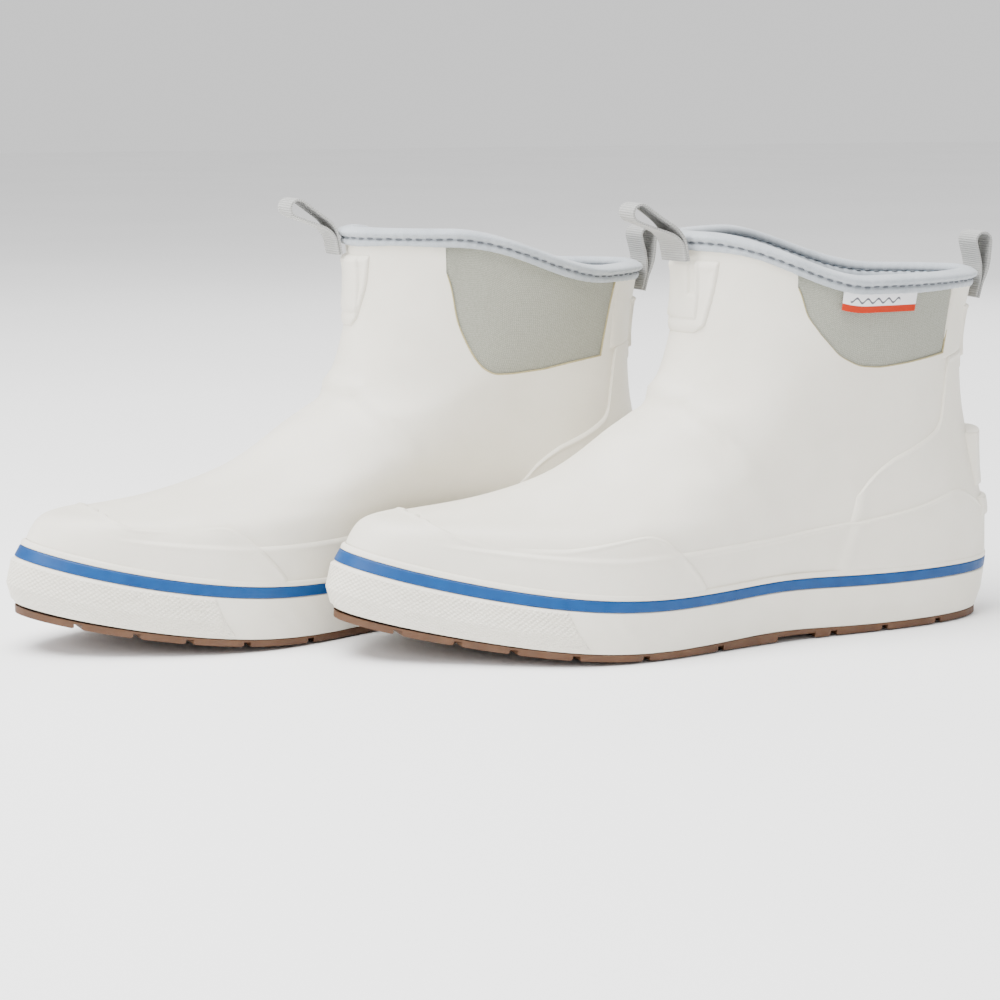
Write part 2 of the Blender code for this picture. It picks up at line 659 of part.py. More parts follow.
def pull_patches(boot):
    """The thick rubber patches that hold the webbing loops."""
    for name, rows, base in (("front_pull_patch", FRONT_PATCH, PULL_PATCH_BASE[0]),
                             ("rear_pull_patch", REAR_PATCH, PULL_PATCH_BASE[1])):
        t, start, end = np.array(rows).T
        layer = (PATCH[0] + base, PATCH[1] + base)
        points, faces = rows_sheet(t, start, end, STRIP_COLUMNS, layer)
        boot.add(name, points, faces, "white_rubber")


def heel_tabs(boot):
    """The kick-off shelf on the counter and the rib below it."""
    for name, rows in (("heel_kick_tab", KICK_TAB), ("heel_rib", HEEL_RIB)):
        t, proud = np.array(rows).T
        ends = np.full_like(t, KICK_TAB_TURN)
        proud = np.repeat(proud[:, None], TAB_COLUMNS, axis=1)
        layer = (OVERLAY[1] + TAB_LIFT, proud)
        points, faces = rows_sheet(t, ends, 360 - ends, TAB_COLUMNS, layer)
        boot.add(name, points, faces, "white_rubber")


def side_label(boot):
    t = np.linspace(*LABEL["t"], LABEL["rows"])
    start, end = [np.full_like(t, phi) for phi in LABEL["phi"]]
    points, faces = rows_sheet(t, start, end, STRIP_COLUMNS, LABEL["layer"])
    boot.add("side_label", points, faces, "label")


def toe_bumper(boot):
    """The textured rubber strip around the front of the foxing."""
    phi = np.radians(np.linspace(*TOE_BUMPER["phi"], TOE_BUMPER["columns"]))
    grids = []
    for proud in reversed(TOE_BUMPER["proud"]):
        rows = [sole_point(phi, h, wall_insets(h, -proud)) for h in TOE_BUMPER["heights"]]
        grids.append(np.stack(rows))
    points, faces = sheet_solid(*grids)
    boot.add("toe_bumper", points, faces, "white_rubber")


def belt(base, tip, start, end):
    """The outline of a belt around two rounds, as distances along and across."""
    far = end - tip
    tilt = math.asin((tip - base) / (far - start))
    reach = math.pi / 2 + tilt
    around_tip = np.linspace(-reach, reach, LOOP_STEPS // 2)
    around_base = np.linspace(reach, 2 * math.pi - reach, LOOP_STEPS // 2)
    length = np.concatenate([far + tip * np.cos(around_tip), start + base * np.cos(around_base)])
    width = np.concatenate([tip * np.sin(around_tip), base * np.sin(around_base)])
    return length, width


def pull_loop(boot, name, plan):
    """A webbing loop that turns about its sewn end, just above its patch."""
    hinge = shell(np.array([plan["t"]]), np.array([plan["phi"]]), LOOP_STAND_OFF)[0]
    lean = math.radians(plan["lean"])
    ahead, up = math.cos(lean), math.sin(lean)
    outer = belt(LOOP_BASE, LOOP_TIP, 0.0, plan["length"])
    hole = belt(LOOP_HEEL, LOOP_TIP - LOOP_WEB, LOOP_SEWN, plan["length"] - LOOP_WEB)
    loops = []
    for (length, width), side in ((outer, -1), (outer, 1), (hole, 1), (hole, -1)):
        x = hinge[0] + ahead * length - up * width
        y = np.full_like(x, hinge[1] + side * LOOP_WIDTH / 2)
        z = hinge[2] + up * length + ahead * width
        loops.append(np.stack([x, y, z], axis=1))
    points, faces = ring_solid(loops)
    boot.add(name, points, faces, "webbing", pivot=hinge)


def build_boot(boot):
    outsole(boot)
    midsole(boot)
    floor_pieces(boot)
    points, faces = wall_band(WALL_HEIGHTS[:3], BAND_THICKNESS)
    boot.add("foxing_band", points, faces, "white_rubber")
    points, faces = wall_band((BAND_TOP + GAP, STRIPE_TOP), STRIPE_THICKNESS)
    boot.add("stripe_band", points, faces, "blue_rubber")
    points, faces = wall_band((STRIPE_TOP + GAP, BEAD_TOP), STRIPE_THICKNESS)
    boot.add("foxing_bead", points, faces, "white_rubber")
    rubber_upper(boot)
    lining(boot)
    collar_binding(boot)
    stiffeners(boot)
    overlays(boot)
    pull_patches(boot)
    heel_tabs(boot)
    side_label(boot)
    toe_bumper(boot)
    pull_loop(boot, "front_pull_loop", FRONT_LOOP)
    pull_loop(boot, "rear_pull_loop", REAR_LOOP)
    for name, edge, side in gores():
        phi, low, high = gore_columns(edge, side, (0.0, 0.0, 0.0))
        points, faces = columns_sheet(phi, low, high, GORE_ROWS, GORE)
        boot.add(name, points, faces, "gore")


for old in list(bpy.data.objects):
    bpy.data.objects.remove(old)
build_boot(Boot("left", 1, *LEFT_PLACE, 0.0))
build_boot(Boot("right", -1, LEFT_PLACE[0] - RIGHT_ASIDE, LEFT_PLACE[1] - RIGHT_AHEAD, RIGHT_TURN))
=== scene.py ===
"""Looks of the deck boots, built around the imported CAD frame.

Every visible piece is drawn again on the boots' own skin, finer than the CAD solid it stands
for. A boot is drawn in its own axes, in millimetres: x runs from the heel end (0) to the toe end
(LENGTH), y points to the outer side of the foot and z up from the ground; the right boot is the
left one mirrored. Two numbers place a point on the upper: t is the height on the skin, from 0 at
the top of the foxing to 1 at the collar's edge, and phi is the way around it in degrees, 0 at
the toe, 90 at the outer side, 180 at the heel.
"""
import math

import bpy
import numpy as np
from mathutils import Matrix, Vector


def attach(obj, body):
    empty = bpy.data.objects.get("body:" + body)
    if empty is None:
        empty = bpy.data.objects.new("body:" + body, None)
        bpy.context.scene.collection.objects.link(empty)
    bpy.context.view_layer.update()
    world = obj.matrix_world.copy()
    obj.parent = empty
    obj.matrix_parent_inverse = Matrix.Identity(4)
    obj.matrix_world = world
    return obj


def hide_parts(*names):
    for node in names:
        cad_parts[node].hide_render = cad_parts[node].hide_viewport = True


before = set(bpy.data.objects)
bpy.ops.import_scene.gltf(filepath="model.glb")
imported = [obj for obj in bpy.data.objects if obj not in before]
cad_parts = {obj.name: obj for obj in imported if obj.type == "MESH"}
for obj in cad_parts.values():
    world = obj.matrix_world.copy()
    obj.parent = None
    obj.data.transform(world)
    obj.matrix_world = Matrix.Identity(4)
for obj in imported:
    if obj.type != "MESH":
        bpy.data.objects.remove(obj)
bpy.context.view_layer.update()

MM = 0.001

# Shape of a boot, the same figures as the CAD solids
LENGTH = 300.0
TOE_SPRING = 16.6
SPRING_START = 0.55
OUTSOLE = 4.0
ARCH_RISE = 1.3
ARCH_PLACE = 0.38
ARCH_SPREAD = 0.10
STATIONS = (0.0, 0.13, 0.4, 0.68, 0.88, 1.0)
CENTRE = (0.0, 0.0, 7.5, 3.0, -2.9, -2.9)
SOLE_WIDTHS = (33.8, 32.4, 51.4, 40.0)
SOLE_SQUARENESS = (4.4, 3.9)
WALL_HEIGHTS = (0.0, 7.0, 16.4, 21.3, 23.0)
WALL_FRONT = (3.0, 1.0, 3.5, 6.4, 7.2)
WALL_BACK = (4.5, 2.0, 0.6, 0.0, 0.0)
WALL_SIDE = (1.5, 0.0, 0.2, 0.4, 0.6)
TOE_RISE = 2.1
TOE_RISE_START = 0.7
BAND_TOP = 16.4
STRIPE_TOP = 20.8
BEAD_TOP = 23.2
RINGS = (
    (290.2, 46.0, 2.2, 27.3, 31.2, 29.8, 48.8, 37.4, 4.4, 3.9),
    (284.0, 53.8, 3.0, 43.8, 33.6, 32.2, 49.0, 39.4, 4.2, 3.8),
    (271.5, 55.4, 4.8, 53.6, 34.6, 33.2, 46.6, 38.6, 3.9, 3.5),
    (247.0, 57.6, 9.9, 70.5, 34.8, 33.8, 42.0, 36.8, 3.5, 3.1),
    (205.5, 69.2, 15.0, 90.2, 34.3, 34.0, 38.0, 34.0, 3.1, 2.7),
    (178.0, 86.0, 16.9, 110.0, 34.0, 35.0, 36.5, 33.5, 2.8, 2.4),
    (158.0, 102.5, 16.5, 125.8, 34.0, 36.5, 37.0, 34.0, 2.5, 2.2),
    (147.5, 139.0, 14.2, 140.0, 35.0, 38.0, 38.0, 35.0, 2.3, 2.15),
    (149.0, 168.5, 11.2, 150.5, 37.0, 39.5, 39.5, 36.5, 2.15, 2.15),
)
TOP_SLOPE_OUTER = (0.49, 0.965)
TOP_SLOPE_INNER = (0.20, 0.76)
CENTRE_FADE = 0.8
TUCK_HEIGHT = 11.8
TUCK_INSET = (5.4, 5.4, 4.2)
RING_HEIGHT = 23.3

# The pair
LEFT_PLACE = (34.75, 59.7)
RIGHT_PLACE = (34.75 - 72.4, 59.7 - 120.6)
RIGHT_TURN = 4.8


# Pieces of the upper, nearly the same outlines as the CAD solids, as (phi, t)
TOE_EDGE = ((-71, 0.0), (-66, 0.07), (-61, 0.13), (-57, 0.178), (-54, 0.183), (-44, 0.15),
            (-36, 0.15), (-18, 0.28), (0, 0.32), (18, 0.28), (36, 0.15), (46, 0.105),
            (60, 0.122), (65, 0.144), (70, 0.176), (73, 0.194), (77, 0.158), (80.5, 0.105),
            (83.5, 0.062), (87, 0.0))
GUARD_EDGE = ((60, 0.092), (80, 0.106), (101, 0.124), (112, 0.162), (119, 0.184), (130, 0.232),
              (141, 0.282), (148, 0.298), (155, 0.255), (162, 0.175), (180, 0.165))
COUNTER_EDGE = ((115, 0.30), (117, 0.365), (119.5, 0.40), (123, 0.427), (134, 0.464), (139, 0.485),
                (141.5, 0.52), (142, 0.56), (142.5, 0.68), (180, 0.68))
STAY_EDGE = ((0.69, 142), (0.92, 138))
STAY_FOOT = 0.675
STAY_LAP = 2.5                 # degrees by which the stay laps over its edge
GORE_OUTER = ((64, 0.93), (68, 0.86), (76, 0.81), (87, 0.75), (97, 0.715), (106, 0.70),
              (118, 0.695), (139, 0.695))
GORE_INNER = ((57, 0.93), (62, 0.85), (70, 0.80), (77, 0.76), (85, 0.72), (94, 0.695),
              (106, 0.675), (134, 0.665))
GORE_HIDDEN = 4.0              # the gores' top, this far below the collar's edge
FOOT = -0.03
UPPER_FOOT = -0.4
SKIN_PACE = 105.0              # millimetres up the skin for t from 0 to 1, nearly
TURN_PACE = 1.3                # millimetres around the toe for each degree
PATCH_PACE = 0.62
EDGE_BEAD = 0.40               # height of the soft bead along an overlay's edge
INSTEP_FOLD = ((0, 30, 51, 71, 85, 96), (0.76, 0.742, 0.65, 0.534, 0.443, 0.40))
FRONT_PATCH = ((0.838, -8, 20), (0.848, -13, 26), (0.895, -18, 29), (0.95, -21, 32))
REAR_PATCH = ((0.61, 167, 193), (0.69, 165, 195), (0.77, 160, 200), (0.84, 154, 206))
FRONT_PAD = (-13.0, 20.5, 0.856, 13.0, 18.8, 0.888, 1.3)  # pad and pocket: start, end, foot
REAR_PAD = (167.0, 193.0, 0.65, 175.0, 185.0, 0.78, 1.0)
KICK_TAB = ((0.28, 2.2), (0.335, 3.3), (0.39, 4.9), (0.438, 6.6))
KICK_TAB_TURN = 160.0
KICK_TAB_LIP = 0.004
HEEL_RIB = ((0.12, 3.0), (0.235, 3.0))
HEEL_PACE = 0.5                # millimetres around the heel for each degree
HEEL_ROOT = 0.6
LABEL_PHI = (81.0, 112.0)
LABEL_HANG = (5.8, 14.2)       # how far below the collar's edge the tag starts and ends

# Sole details
GROOVES = (34.7, 63.3, 88.8, 146.4, 182.9, 212.3, 235.7, 255.9, 277.6)
GROOVE_WIDTH = 3.0
GROOVE_DEPTH = 2.0
ARCH_HOLLOW = (98, 117)
ARCH_HOLLOW_DEPTH = 2.0
WELT_DROP = 0.9                # how far the foxing comes down over the tread
SIPE_PLACES = (24.0, 49.0, 76.0, 131.0, 158.0, 171.0, 197.5, 224.0, 245.8, 266.8)
SIPE_DEPTH = 1.2
SIPE_WIDTH = 0.9
SIPE_SWAY = 2.2                # how far a wavy sipe swings to each side
SIPE_RUN = 5.0                 # millimetres across for each radian of its wave
LUG_LIP = 0.9                  # length and rise of the rounding beside a cut in the tread
LUG_LIP_RISE = 0.5
CUT_DRAFT = 0.05
FLEX_DENTS = ((196, 0.9, 0.8), (186, 1.1, 1.0), (176, 1.3, 0.8))  # place, lean, depth
BUMPER_PHI = (-63.0, 67.5)
BUMPER_HEIGHTS = (0.5, 15.8)
BUMPER_COLUMNS = 560
BUMPER_ROWS = 66
BUMPER_SLANT = 0.07            # how much sooner the bumper ends at its top
KNURL_SLANT = 1.7
KNURL = 2.7

# Collar, lining and footbed
FLOOR_LINING = (13.6, 15.6)
LINING_OUT = -4.6
LINING_IN = -5.4
FOOTBED_SECTION = ((15.9, 0.8), (16.3, 0.15), (17.0, 0.0), (19.2, 0.0), (19.9, 0.25), (20.3, 0.9),
                   (20.45, 1.8), (20.2, 6.0), (20.0, 12.0))
BINDING_PROFILE = ((6.2, 0.3), (6.5, 0.9), (6.2, 1.4), (5.4, 1.6), (4.5, 1.5), (3.9, 1.0),
                   (3.4, 0.5), (3.0, 0.9), (2.3, 1.9), (1.4, 2.4), (0.4, 2.2), (-0.3, 1.1),
                   (-0.7, -0.8), (-0.8, -2.6), (-0.4, -4.4), (0.5, -5.6), (1.7, -6.1),
                   (2.8, -5.9), (3.4, -5.3), (4.2, -5.8), (5.4, -6.1), (6.6, -6.0), (6.9, -5.4),
                   (6.5, -4.2), (6.1, -2.0))
BINDING_GROOVE = 3.4
STITCH_PITCH = 4.3
STITCH_LENGTH = 3.0
STITCH_RADIUS = 0.3
STITCH_OUT = 0.95
STITCH_IN = -5.75

# Webbing loops
LOOP_WIDTH = 15.0
LOOP_WEB = 1.1
FRONT_LOOP = {"t": 0.951, "phi": 9.0, "length": 33.5, "lean": (80.0, 28.0),
              "bend": (4.0, 18.0), "twist": 17.0}
REAR_LOOP = {"t": 0.865, "phi": 180.0, "length": 29.0, "lean": (105.0, 84.0),
             "bend": (8.0, 20.0), "twist": 0.0}
LOOP_TIP = 4.2
LOOP_FLAT = 0.6
LOOP_STAND_OFF = 5.1           # the sewn foot lies a little in from its hinge
LOOP_SEWN = 7.0
LOOP_ROWS = 420
LOOP_STEPS = 200
LOOP_UNTWIST = (6.0, 22.0)     # from here to there a loop's twist runs out
LOOP_EASING = 60
RIB_PITCH = 1.0
RIB_DEPTH = 0.16

# Fineness
FINE_STEPS = 4001
SOLE_COLUMNS = 420
UPPER_COLUMNS = 320
UPPER_ROWS = 120
COLLAR_COLUMNS = 640
COLLAR_STEPS = 61
COLLAR_TURNS = 241
COLLAR_FOOT = 0.7


def natural_cubic(knots, values, at):
    """The natural cubic spline through values (one row for each knot), read at many places."""
    knots = np.asarray(knots, float)
    values = np.asarray(values, float)
    step = np.diff(knots)
    size = len(knots)
    system = np.eye(size)
    right = np.zeros_like(values)
    for i in range(1, size - 1):
        system[i, i - 1:i + 2] = step[i - 1], 2 * (step[i - 1] + step[i]), step[i]
        rise = (values[i + 1] - values[i]) / step[i] - (values[i] - values[i - 1]) / step[i - 1]
        right[i] = 6 * rise
    bend = np.linalg.solve(system, right)
    cell = np.clip(np.searchsorted(knots, at) - 1, 0, size - 2)
    width = step[cell][:, None]
    past = at[:, None] - knots[cell][:, None]
    left = width - past
    cubic = (bend[cell] * left ** 3 + bend[cell + 1] * past ** 3) / (6 * width)
    near = (values[cell] / width - bend[cell] * width / 6) * left
    far = (values[cell + 1] / width - bend[cell + 1] * width / 6) * past
    return cubic + near + far


def ease(low, high, value):
    """A smooth step from 0 at low to 1 at high."""
    share = np.clip((value - low) / (high - low), 0.0, 1.0)
    return share * share * (3 - 2 * share)


def six(widths):
    """Half widths at the six stations from those at heel, waist, ball and toes."""
    heel, waist, ball, toes = [widths[..., i] for i in range(4)]
    return np.stack([heel - 1, heel, waist, ball, toes, 0.907 * toes], axis=-1)


def along(values, share):
    """Station values read at a share of the length."""
    weights = natural_cubic(STATIONS, np.eye(len(STATIONS)), share)
    return (weights * values).sum(axis=1)


def outer_side(phi):
    return np.where(np.sin(phi) >= 0, 1.0, -1.0)


def ground_lift(share):
    return TOE_SPRING * np.clip((share - SPRING_START) / (1 - SPRING_START), 0, None) ** 2


def wall_z(height, share):
    """Height above ground of a line on the foxing that lies a height above the tread."""
    arch = ARCH_RISE * np.exp(-((share - ARCH_PLACE) / ARCH_SPREAD) ** 2)
    toe = TOE_RISE * np.clip((share - TOE_RISE_START) / (1 - TOE_RISE_START), 0, None) ** 2
    return ground_lift(share) + OUTSOLE + arch + height + toe * np.clip(height / BAND_TOP, 0, 1)


def sole_point(phi, height, insets):
    """A point on the sole's wall, moved in by insets at the front, the back and the sides."""
    front, back, side = insets
    turn = np.cos(phi)
    share = (1 + turn) / 2
    x = back + (LENGTH - front - back) * share
    half = along(np.broadcast_to(six(np.array(SOLE_WIDTHS)), (len(phi), 6)), share) - side
    squareness = SOLE_SQUARENESS[0] + (SOLE_SQUARENESS[1] - SOLE_SQUARENESS[0]) * share
    bulge = np.sqrt(np.clip(1 - np.abs(turn) ** squareness, 0, None))
    y = along(np.array(CENTRE), share) + outer_side(phi) * half * bulge
    return np.stack([x, y, wall_z(height, share)], axis=1)


def wall_insets(height, extra=0.0):
    """The foxing face's three insets at a height, plus an extra one all around."""
    rows = (WALL_FRONT, WALL_BACK, WALL_SIDE)
    return [np.interp(height, WALL_HEIGHTS, row) + extra for row in rows]


def upper_point(t, phi):
    """The skin above the foxing: rings that lean from the back point to the front point."""
    ring = natural_cubic(np.linspace(0, 1, len(RINGS)), np.array(RINGS), t)
    front_x, front_z, back_x, back_z = ring[:, :4].T
    turn = np.cos(phi)
    share = (1 + turn) / 2
    squareness = ring[:, 8] + (ring[:, 9] - ring[:, 8]) * share
    bulge = np.sqrt(np.clip(1 - np.abs(turn) ** squareness, 0, None))
    side = outer_side(phi)
    fade = 1 - ease(0.0, CENTRE_FADE, t)
    y = along(np.array(CENTRE), share) * fade + side * along(six(ring[:, 4:8]), share) * bulge
    back, front = wall_z(RING_HEIGHT, np.array([0.0, 1.0]))
    low = (wall_z(RING_HEIGHT, share) - back) / (front - back)
    top = np.where(side > 0, ease(*TOP_SLOPE_OUTER, share), ease(*TOP_SLOPE_INNER, share))
    low_weight = 1 - ease(0.0, 0.35, t)
    top_weight = ease(0.55, 1.0, t)
    slope = low * low_weight + top * top_weight + share * (1 - low_weight - top_weight)
    return np.stack([back_x + (front_x - back_x) * share, y,
                     back_z + (front_z - back_z) * slope], axis=1)


def skin(t, phi):
    """A point on the skin; below t = 0 it is the foot wall, hidden by the foxing."""
    point = upper_point(np.clip(t, 0, None), phi)
    foot = sole_point(phi, TUCK_HEIGHT, TUCK_INSET)
    down = np.clip(-t, 0, None)[:, None]
    return point + (foot - point) * down


def shell(t, phi_degrees, offset):
    """Points at a distance from the skin, along its outward normal."""
    t, phi, offset = np.broadcast_arrays(np.asarray(t, float), np.radians(phi_degrees), offset)
    step = 1e-3
    up = skin(t + step, phi) - skin(t - step, phi)
    around = skin(t, phi + step) - skin(t, phi - step)
    normal = np.cross(around, up)
    normal /= np.linalg.norm(normal, axis=1)[:, None]
    return skin(t, phi) + normal * offset[:, None]


def wall_height_t(height):
    """t on the foot wall for a height above the tread."""
    return (height - TUCK_HEIGHT) / (RING_HEIGHT - TUCK_HEIGHT) - 1


def collar_t(phi_degrees, below):
    """t of the line that runs a distance down the skin from the collar's edge."""
    phi = np.mod(np.radians(phi_degrees), 2 * math.pi)
    steps = np.linspace(1, COLLAR_FOOT, COLLAR_STEPS)
    turns = np.radians(np.linspace(0, 360, COLLAR_TURNS))
    t, turn = np.meshgrid(steps, turns, indexing="ij")
    line = upper_point(t.ravel(), turn.ravel()).reshape(*t.shape, 3)
    walk = np.cumsum(np.linalg.norm(np.diff(line, axis=0), axis=2), axis=0)
    walk = np.concatenate([np.zeros((1, COLLAR_TURNS)), walk])
    at = phi / (2 * math.pi) * (COLLAR_TURNS - 1)
    low = np.minimum(at.astype(int), COLLAR_TURNS - 2)
    share = at - low
    column = walk[:, low] * (1 - share) + walk[:, low + 1] * share
    below = np.broadcast_to(below, phi.shape)
    down = (column < below).sum(axis=0).clip(1, COLLAR_STEPS - 1)
    place = np.arange(len(phi))
    first, second = column[down - 1, place], column[down, place]
    part = (below - first) / (second - first)
    return steps[down - 1] + (steps[down] - steps[down - 1]) * part


# Materials ---------------------------------------------------------------------------------

class Paint:
    """A material and short calls for the nodes in it."""

    def __init__(self, name, roughness=0.5, **sockets):
        self.material = bpy.data.materials.new(name)
        self.material.use_nodes = True
        self.tree = self.material.node_tree
        self.shader = self.tree.nodes["Principled BSDF"]
        self.shader.inputs["Roughness"].default_value = roughness
        for socket, value in sockets.items():
            self.shader.inputs[socket.replace("_", " ")].default_value = value
        self.place = self.node("ShaderNodeTexCoord").outputs["Object"]

    def node(self, kind, **settings):
        made = self.tree.nodes.new(kind)
        for key, value in settings.items():
            setattr(made, key, value)
        return made

    def feed(self, socket, value):
        if isinstance(value, bpy.types.NodeSocket):
            self.tree.links.new(value, socket)
        else:
            socket.default_value = value

    def math(self, operation, first, second=0.0):
        made = self.node("ShaderNodeMath", operation=operation)
        self.feed(made.inputs[0], first)
        self.feed(made.inputs[1], second)
        return made.outputs[0]

    def fit(self, value, low, high, new_low, new_high):
        """value from low to high becomes new_low to new_high, and no further."""
        made = self.node("ShaderNodeMapRange")
        for socket, given in zip(made.inputs, (value, low, high, new_low, new_high)):
            self.feed(socket, given)
        return made.outputs[0]

    def noise(self, scale, detail=2.0):
        """Noise of a scale given as features in each metre."""
        made = self.node("ShaderNodeTexNoise")
        self.feed(made.inputs["Vector"], self.place)
        made.inputs["Scale"].default_value = scale
        made.inputs["Detail"].default_value = detail
        return made.outputs[0]

    def mix(self, share, first, second):
        made = self.node("ShaderNodeMix", data_type="RGBA")
        self.feed(made.inputs[0], share)
        self.feed(made.inputs[6], first if not isinstance(first, tuple) else (*first, 1.0))
        self.feed(made.inputs[7], second if not isinstance(second, tuple) else (*second, 1.0))
        return made.outputs[2]

    def flow(self):
        """Millimetres along and up the piece's own surface."""
        made = self.node("ShaderNodeAttribute", attribute_name="flow")
        parts = self.node("ShaderNodeSeparateXYZ")
        self.feed(parts.inputs[0], made.outputs["Vector"])
        return parts.outputs[0], parts.outputs[1]

    def wave(self, value, pitch, shift=0.0):
        """A sine of -1 to 1 that repeats every pitch of value."""
        angle = self.math("MULTIPLY", value, 2 * math.pi / pitch)
        return self.math("SINE", self.math("ADD", angle, shift))

    def colour(self, value):
        self.feed(self.shader.inputs["Base Color"], value)

    def rough(self, value):
        self.feed(self.shader.inputs["Roughness"], value)

    def bump(self, height, millimetres, strength=1.0):
        """A relief of a height of 0 to 1, in millimetres, on top of what is there."""
        made = self.node("ShaderNodeBump")
        made.inputs["Strength"].default_value = strength
        made.inputs["Distance"].default_value = millimetres * MM
        self.feed(made.inputs["Height"], height)
        normal = self.shader.inputs["Normal"]
        if normal.is_linked:
            self.feed(made.inputs["Normal"], normal.links[0].from_socket)
        self.feed(normal, made.outputs[0])


def white_rubber():
    """Dipped rubber: a warm off-white, hazy, with a fine grain and faint mottling."""
    paint = Paint("white_rubber_fine", Specular_IOR_Level=0.42)
    mottle = paint.noise(42.0, 3.0)
    fine = paint.noise(900.0, 2.0)
    base = paint.mix(paint.fit(mottle, 0.35, 0.65, 0.0, 1.0), WHITE_DARK, WHITE_LIGHT)
    paint.colour(paint.mix(paint.fit(fine, 0.62, 0.74, 0.0, 0.16), base, WHITE_SPECK))
    paint.rough(paint.fit(paint.noise(120.0, 3.0), 0.3, 0.7, 0.46, 0.60))
    paint.bump(paint.noise(70.0, 2.0), 0.35, 0.35)
    paint.bump(paint.noise(2400.0, 2.0), 0.03, 0.5)
    return paint.material


def coloured_rubber(name, dark, light, specular, cloud, haze, grain):
    """Coloured rubber: two shades in a soft cloud, an uneven haze and a fine grain."""
    paint = Paint(name, Specular_IOR_Level=specular)
    paint.colour(paint.mix(paint.fit(paint.noise(*cloud), 0.3, 0.7, 0.0, 1.0), dark, light))
    paint.rough(paint.fit(paint.noise(haze[0], 3.0), 0.3, 0.7, *haze[1:]))
    paint.bump(paint.noise(*grain[:2]), *grain[2:])
    return paint.material


def knit(name, dark, light, pitch, height, sheen):
    """A fine jersey knit: staggered rows of small loops, seen on the piece's own surface, with
    painted shade that darkens the colour in the hollows between the loops.
    """
    paint = Paint(name, 0.92, Specular_IOR_Level=0.2, Sheen_Weight=sheen)
    u, v = paint.flow()
    row = paint.wave(v, pitch * 0.8)
    stagger = paint.math("MULTIPLY", paint.wave(v, pitch * 1.6), 1.2)
    loops = paint.math("ABSOLUTE", paint.math("SINE", paint.math(
        "ADD", paint.math("MULTIPLY", u, math.pi / pitch), stagger)))
    cloth = paint.math("MULTIPLY", paint.fit(row, -1.0, 1.0, 0.35, 1.0), loops)
    fuzz = paint.noise(1400.0, 3.0)
    # painted shade: the colour follows the loops' relief and is darker in their hollows; the fuzz
    # is the yarn's own fleck
    shade = paint.math("ADD", paint.math("MULTIPLY", cloth, 0.55),
                       paint.math("MULTIPLY", fuzz, 0.6))
    paint.colour(paint.mix(paint.fit(shade, 0.25, 0.85, 0.0, 1.0), dark, light))
    paint.bump(cloth, height, 0.8)
    paint.bump(fuzz, 0.08, 0.5)
    return paint.material


def brushed_cloth(name, dark, light, sheen, grain=1500.0, relief=0.08):
    """Knit-faced neoprene: soft, with a fine nap."""
    paint = Paint(name, 0.85, Specular_IOR_Level=0.25, Sheen_Weight=sheen)
    nap = paint.noise(grain, 3.0)
    cloud = paint.noise(90.0, 3.0)
    shade = paint.math("ADD", paint.math("MULTIPLY", nap, 0.5), paint.math("MULTIPLY", cloud, 0.5))
    paint.colour(paint.mix(paint.fit(shade, 0.35, 0.65, 0.0, 1.0), dark, light))
    paint.bump(cloud, 0.25, 0.3)
    paint.bump(nap, relief, 0.6)
    return paint.material


def webbing():
    """Ribbed tape: fine yarns along each rib, with painted shade in the valleys between the ribs
    and between the yarns.
    """
    paint = Paint("webbing_fine", 0.85, Specular_IOR_Level=0.25, Sheen_Weight=0.25)
    u, v = paint.flow()
    rib = paint.fit(paint.wave(v, RIB_PITCH, math.pi / 2), -1.0, 1.0, 0.0, 1.0)
    yarn = paint.fit(paint.wave(u, 0.7), -1.0, 1.0, 0.0, 1.0)
    fuzz = paint.noise(1700.0, 2.0)
    # painted shade: the colour follows the ribs' and yarns' relief and is darker in their valleys;
    # the fuzz is the tape's own fleck
    shade = paint.math("ADD", paint.math("MULTIPLY", rib, 0.5), paint.math("MULTIPLY", yarn, 0.25))
    shade = paint.math("ADD", shade, paint.math("MULTIPLY", fuzz, 0.3))
    paint.colour(paint.mix(paint.fit(shade, 0.2, 0.95, 0.0, 1.0), WEB_DARK, WEB_LIGHT))
    paint.bump(yarn, 0.10, 0.6)
    paint.bump(fuzz, 0.06, 0.5)
    return paint.material


def label_cloth():
    """Woven tag: white with painted shade in the weave's hollows, a thin stitched wave in grey, and
    an orange-red band along its foot.
    """
    paint = Paint("label_fine", 0.75, Specular_IOR_Level=0.3)
    u, v = paint.flow()
    weave = paint.math("MULTIPLY", paint.wave(u, 0.55), paint.wave(v, 0.55))
    # painted shade: the white is darker where the weave dips
    white = paint.mix(paint.fit(weave, -1.0, 1.0, 0.0, 1.0), LABEL_SHADE, LABEL_WHITE)
    wave = paint.math("ADD", LABEL_WAVE_HEIGHT, paint.math("MULTIPLY", paint.wave(u, 5.0), 0.9))
    away = paint.math("ABSOLUTE", paint.math("SUBTRACT", v, wave))
    start, end = LABEL_WAVE_SPAN
    inset = paint.math("MINIMUM", paint.fit(u, start, start + 0.6, 0.0, 1.0),
                       paint.fit(u, end, end + 0.6, 1.0, 0.0))
    line = paint.math("MULTIPLY", paint.fit(away, 0.35, 0.55, 1.0, 0.0), inset)
    marked = paint.mix(line, white, LABEL_GREY)
    band = paint.fit(v, LABEL_BAND, LABEL_BAND + 0.3, 1.0, 0.0)
    paint.colour(paint.mix(band, marked, LABEL_ORANGE))
    paint.bump(paint.fit(weave, -1.0, 1.0, 0.0, 1.0), 0.08, 0.6)
    return paint.material


def plain(name, dark, light, roughness, grain, metallic=0.0):
    """Pieces that the others hide, with a little grain all the same."""
    paint = Paint(name, Metallic=metallic)
    paint.colour(paint.mix(paint.fit(paint.noise(grain, 3.0), 0.3, 0.7, 0.0, 1.0), dark, light))
    paint.rough(paint.fit(paint.noise(grain * 2, 2.0), 0.3, 0.7,
                          roughness - 0.06, roughness + 0.06))
    paint.bump(paint.noise(grain * 4, 2.0), 0.05, 0.4)
    return paint.material


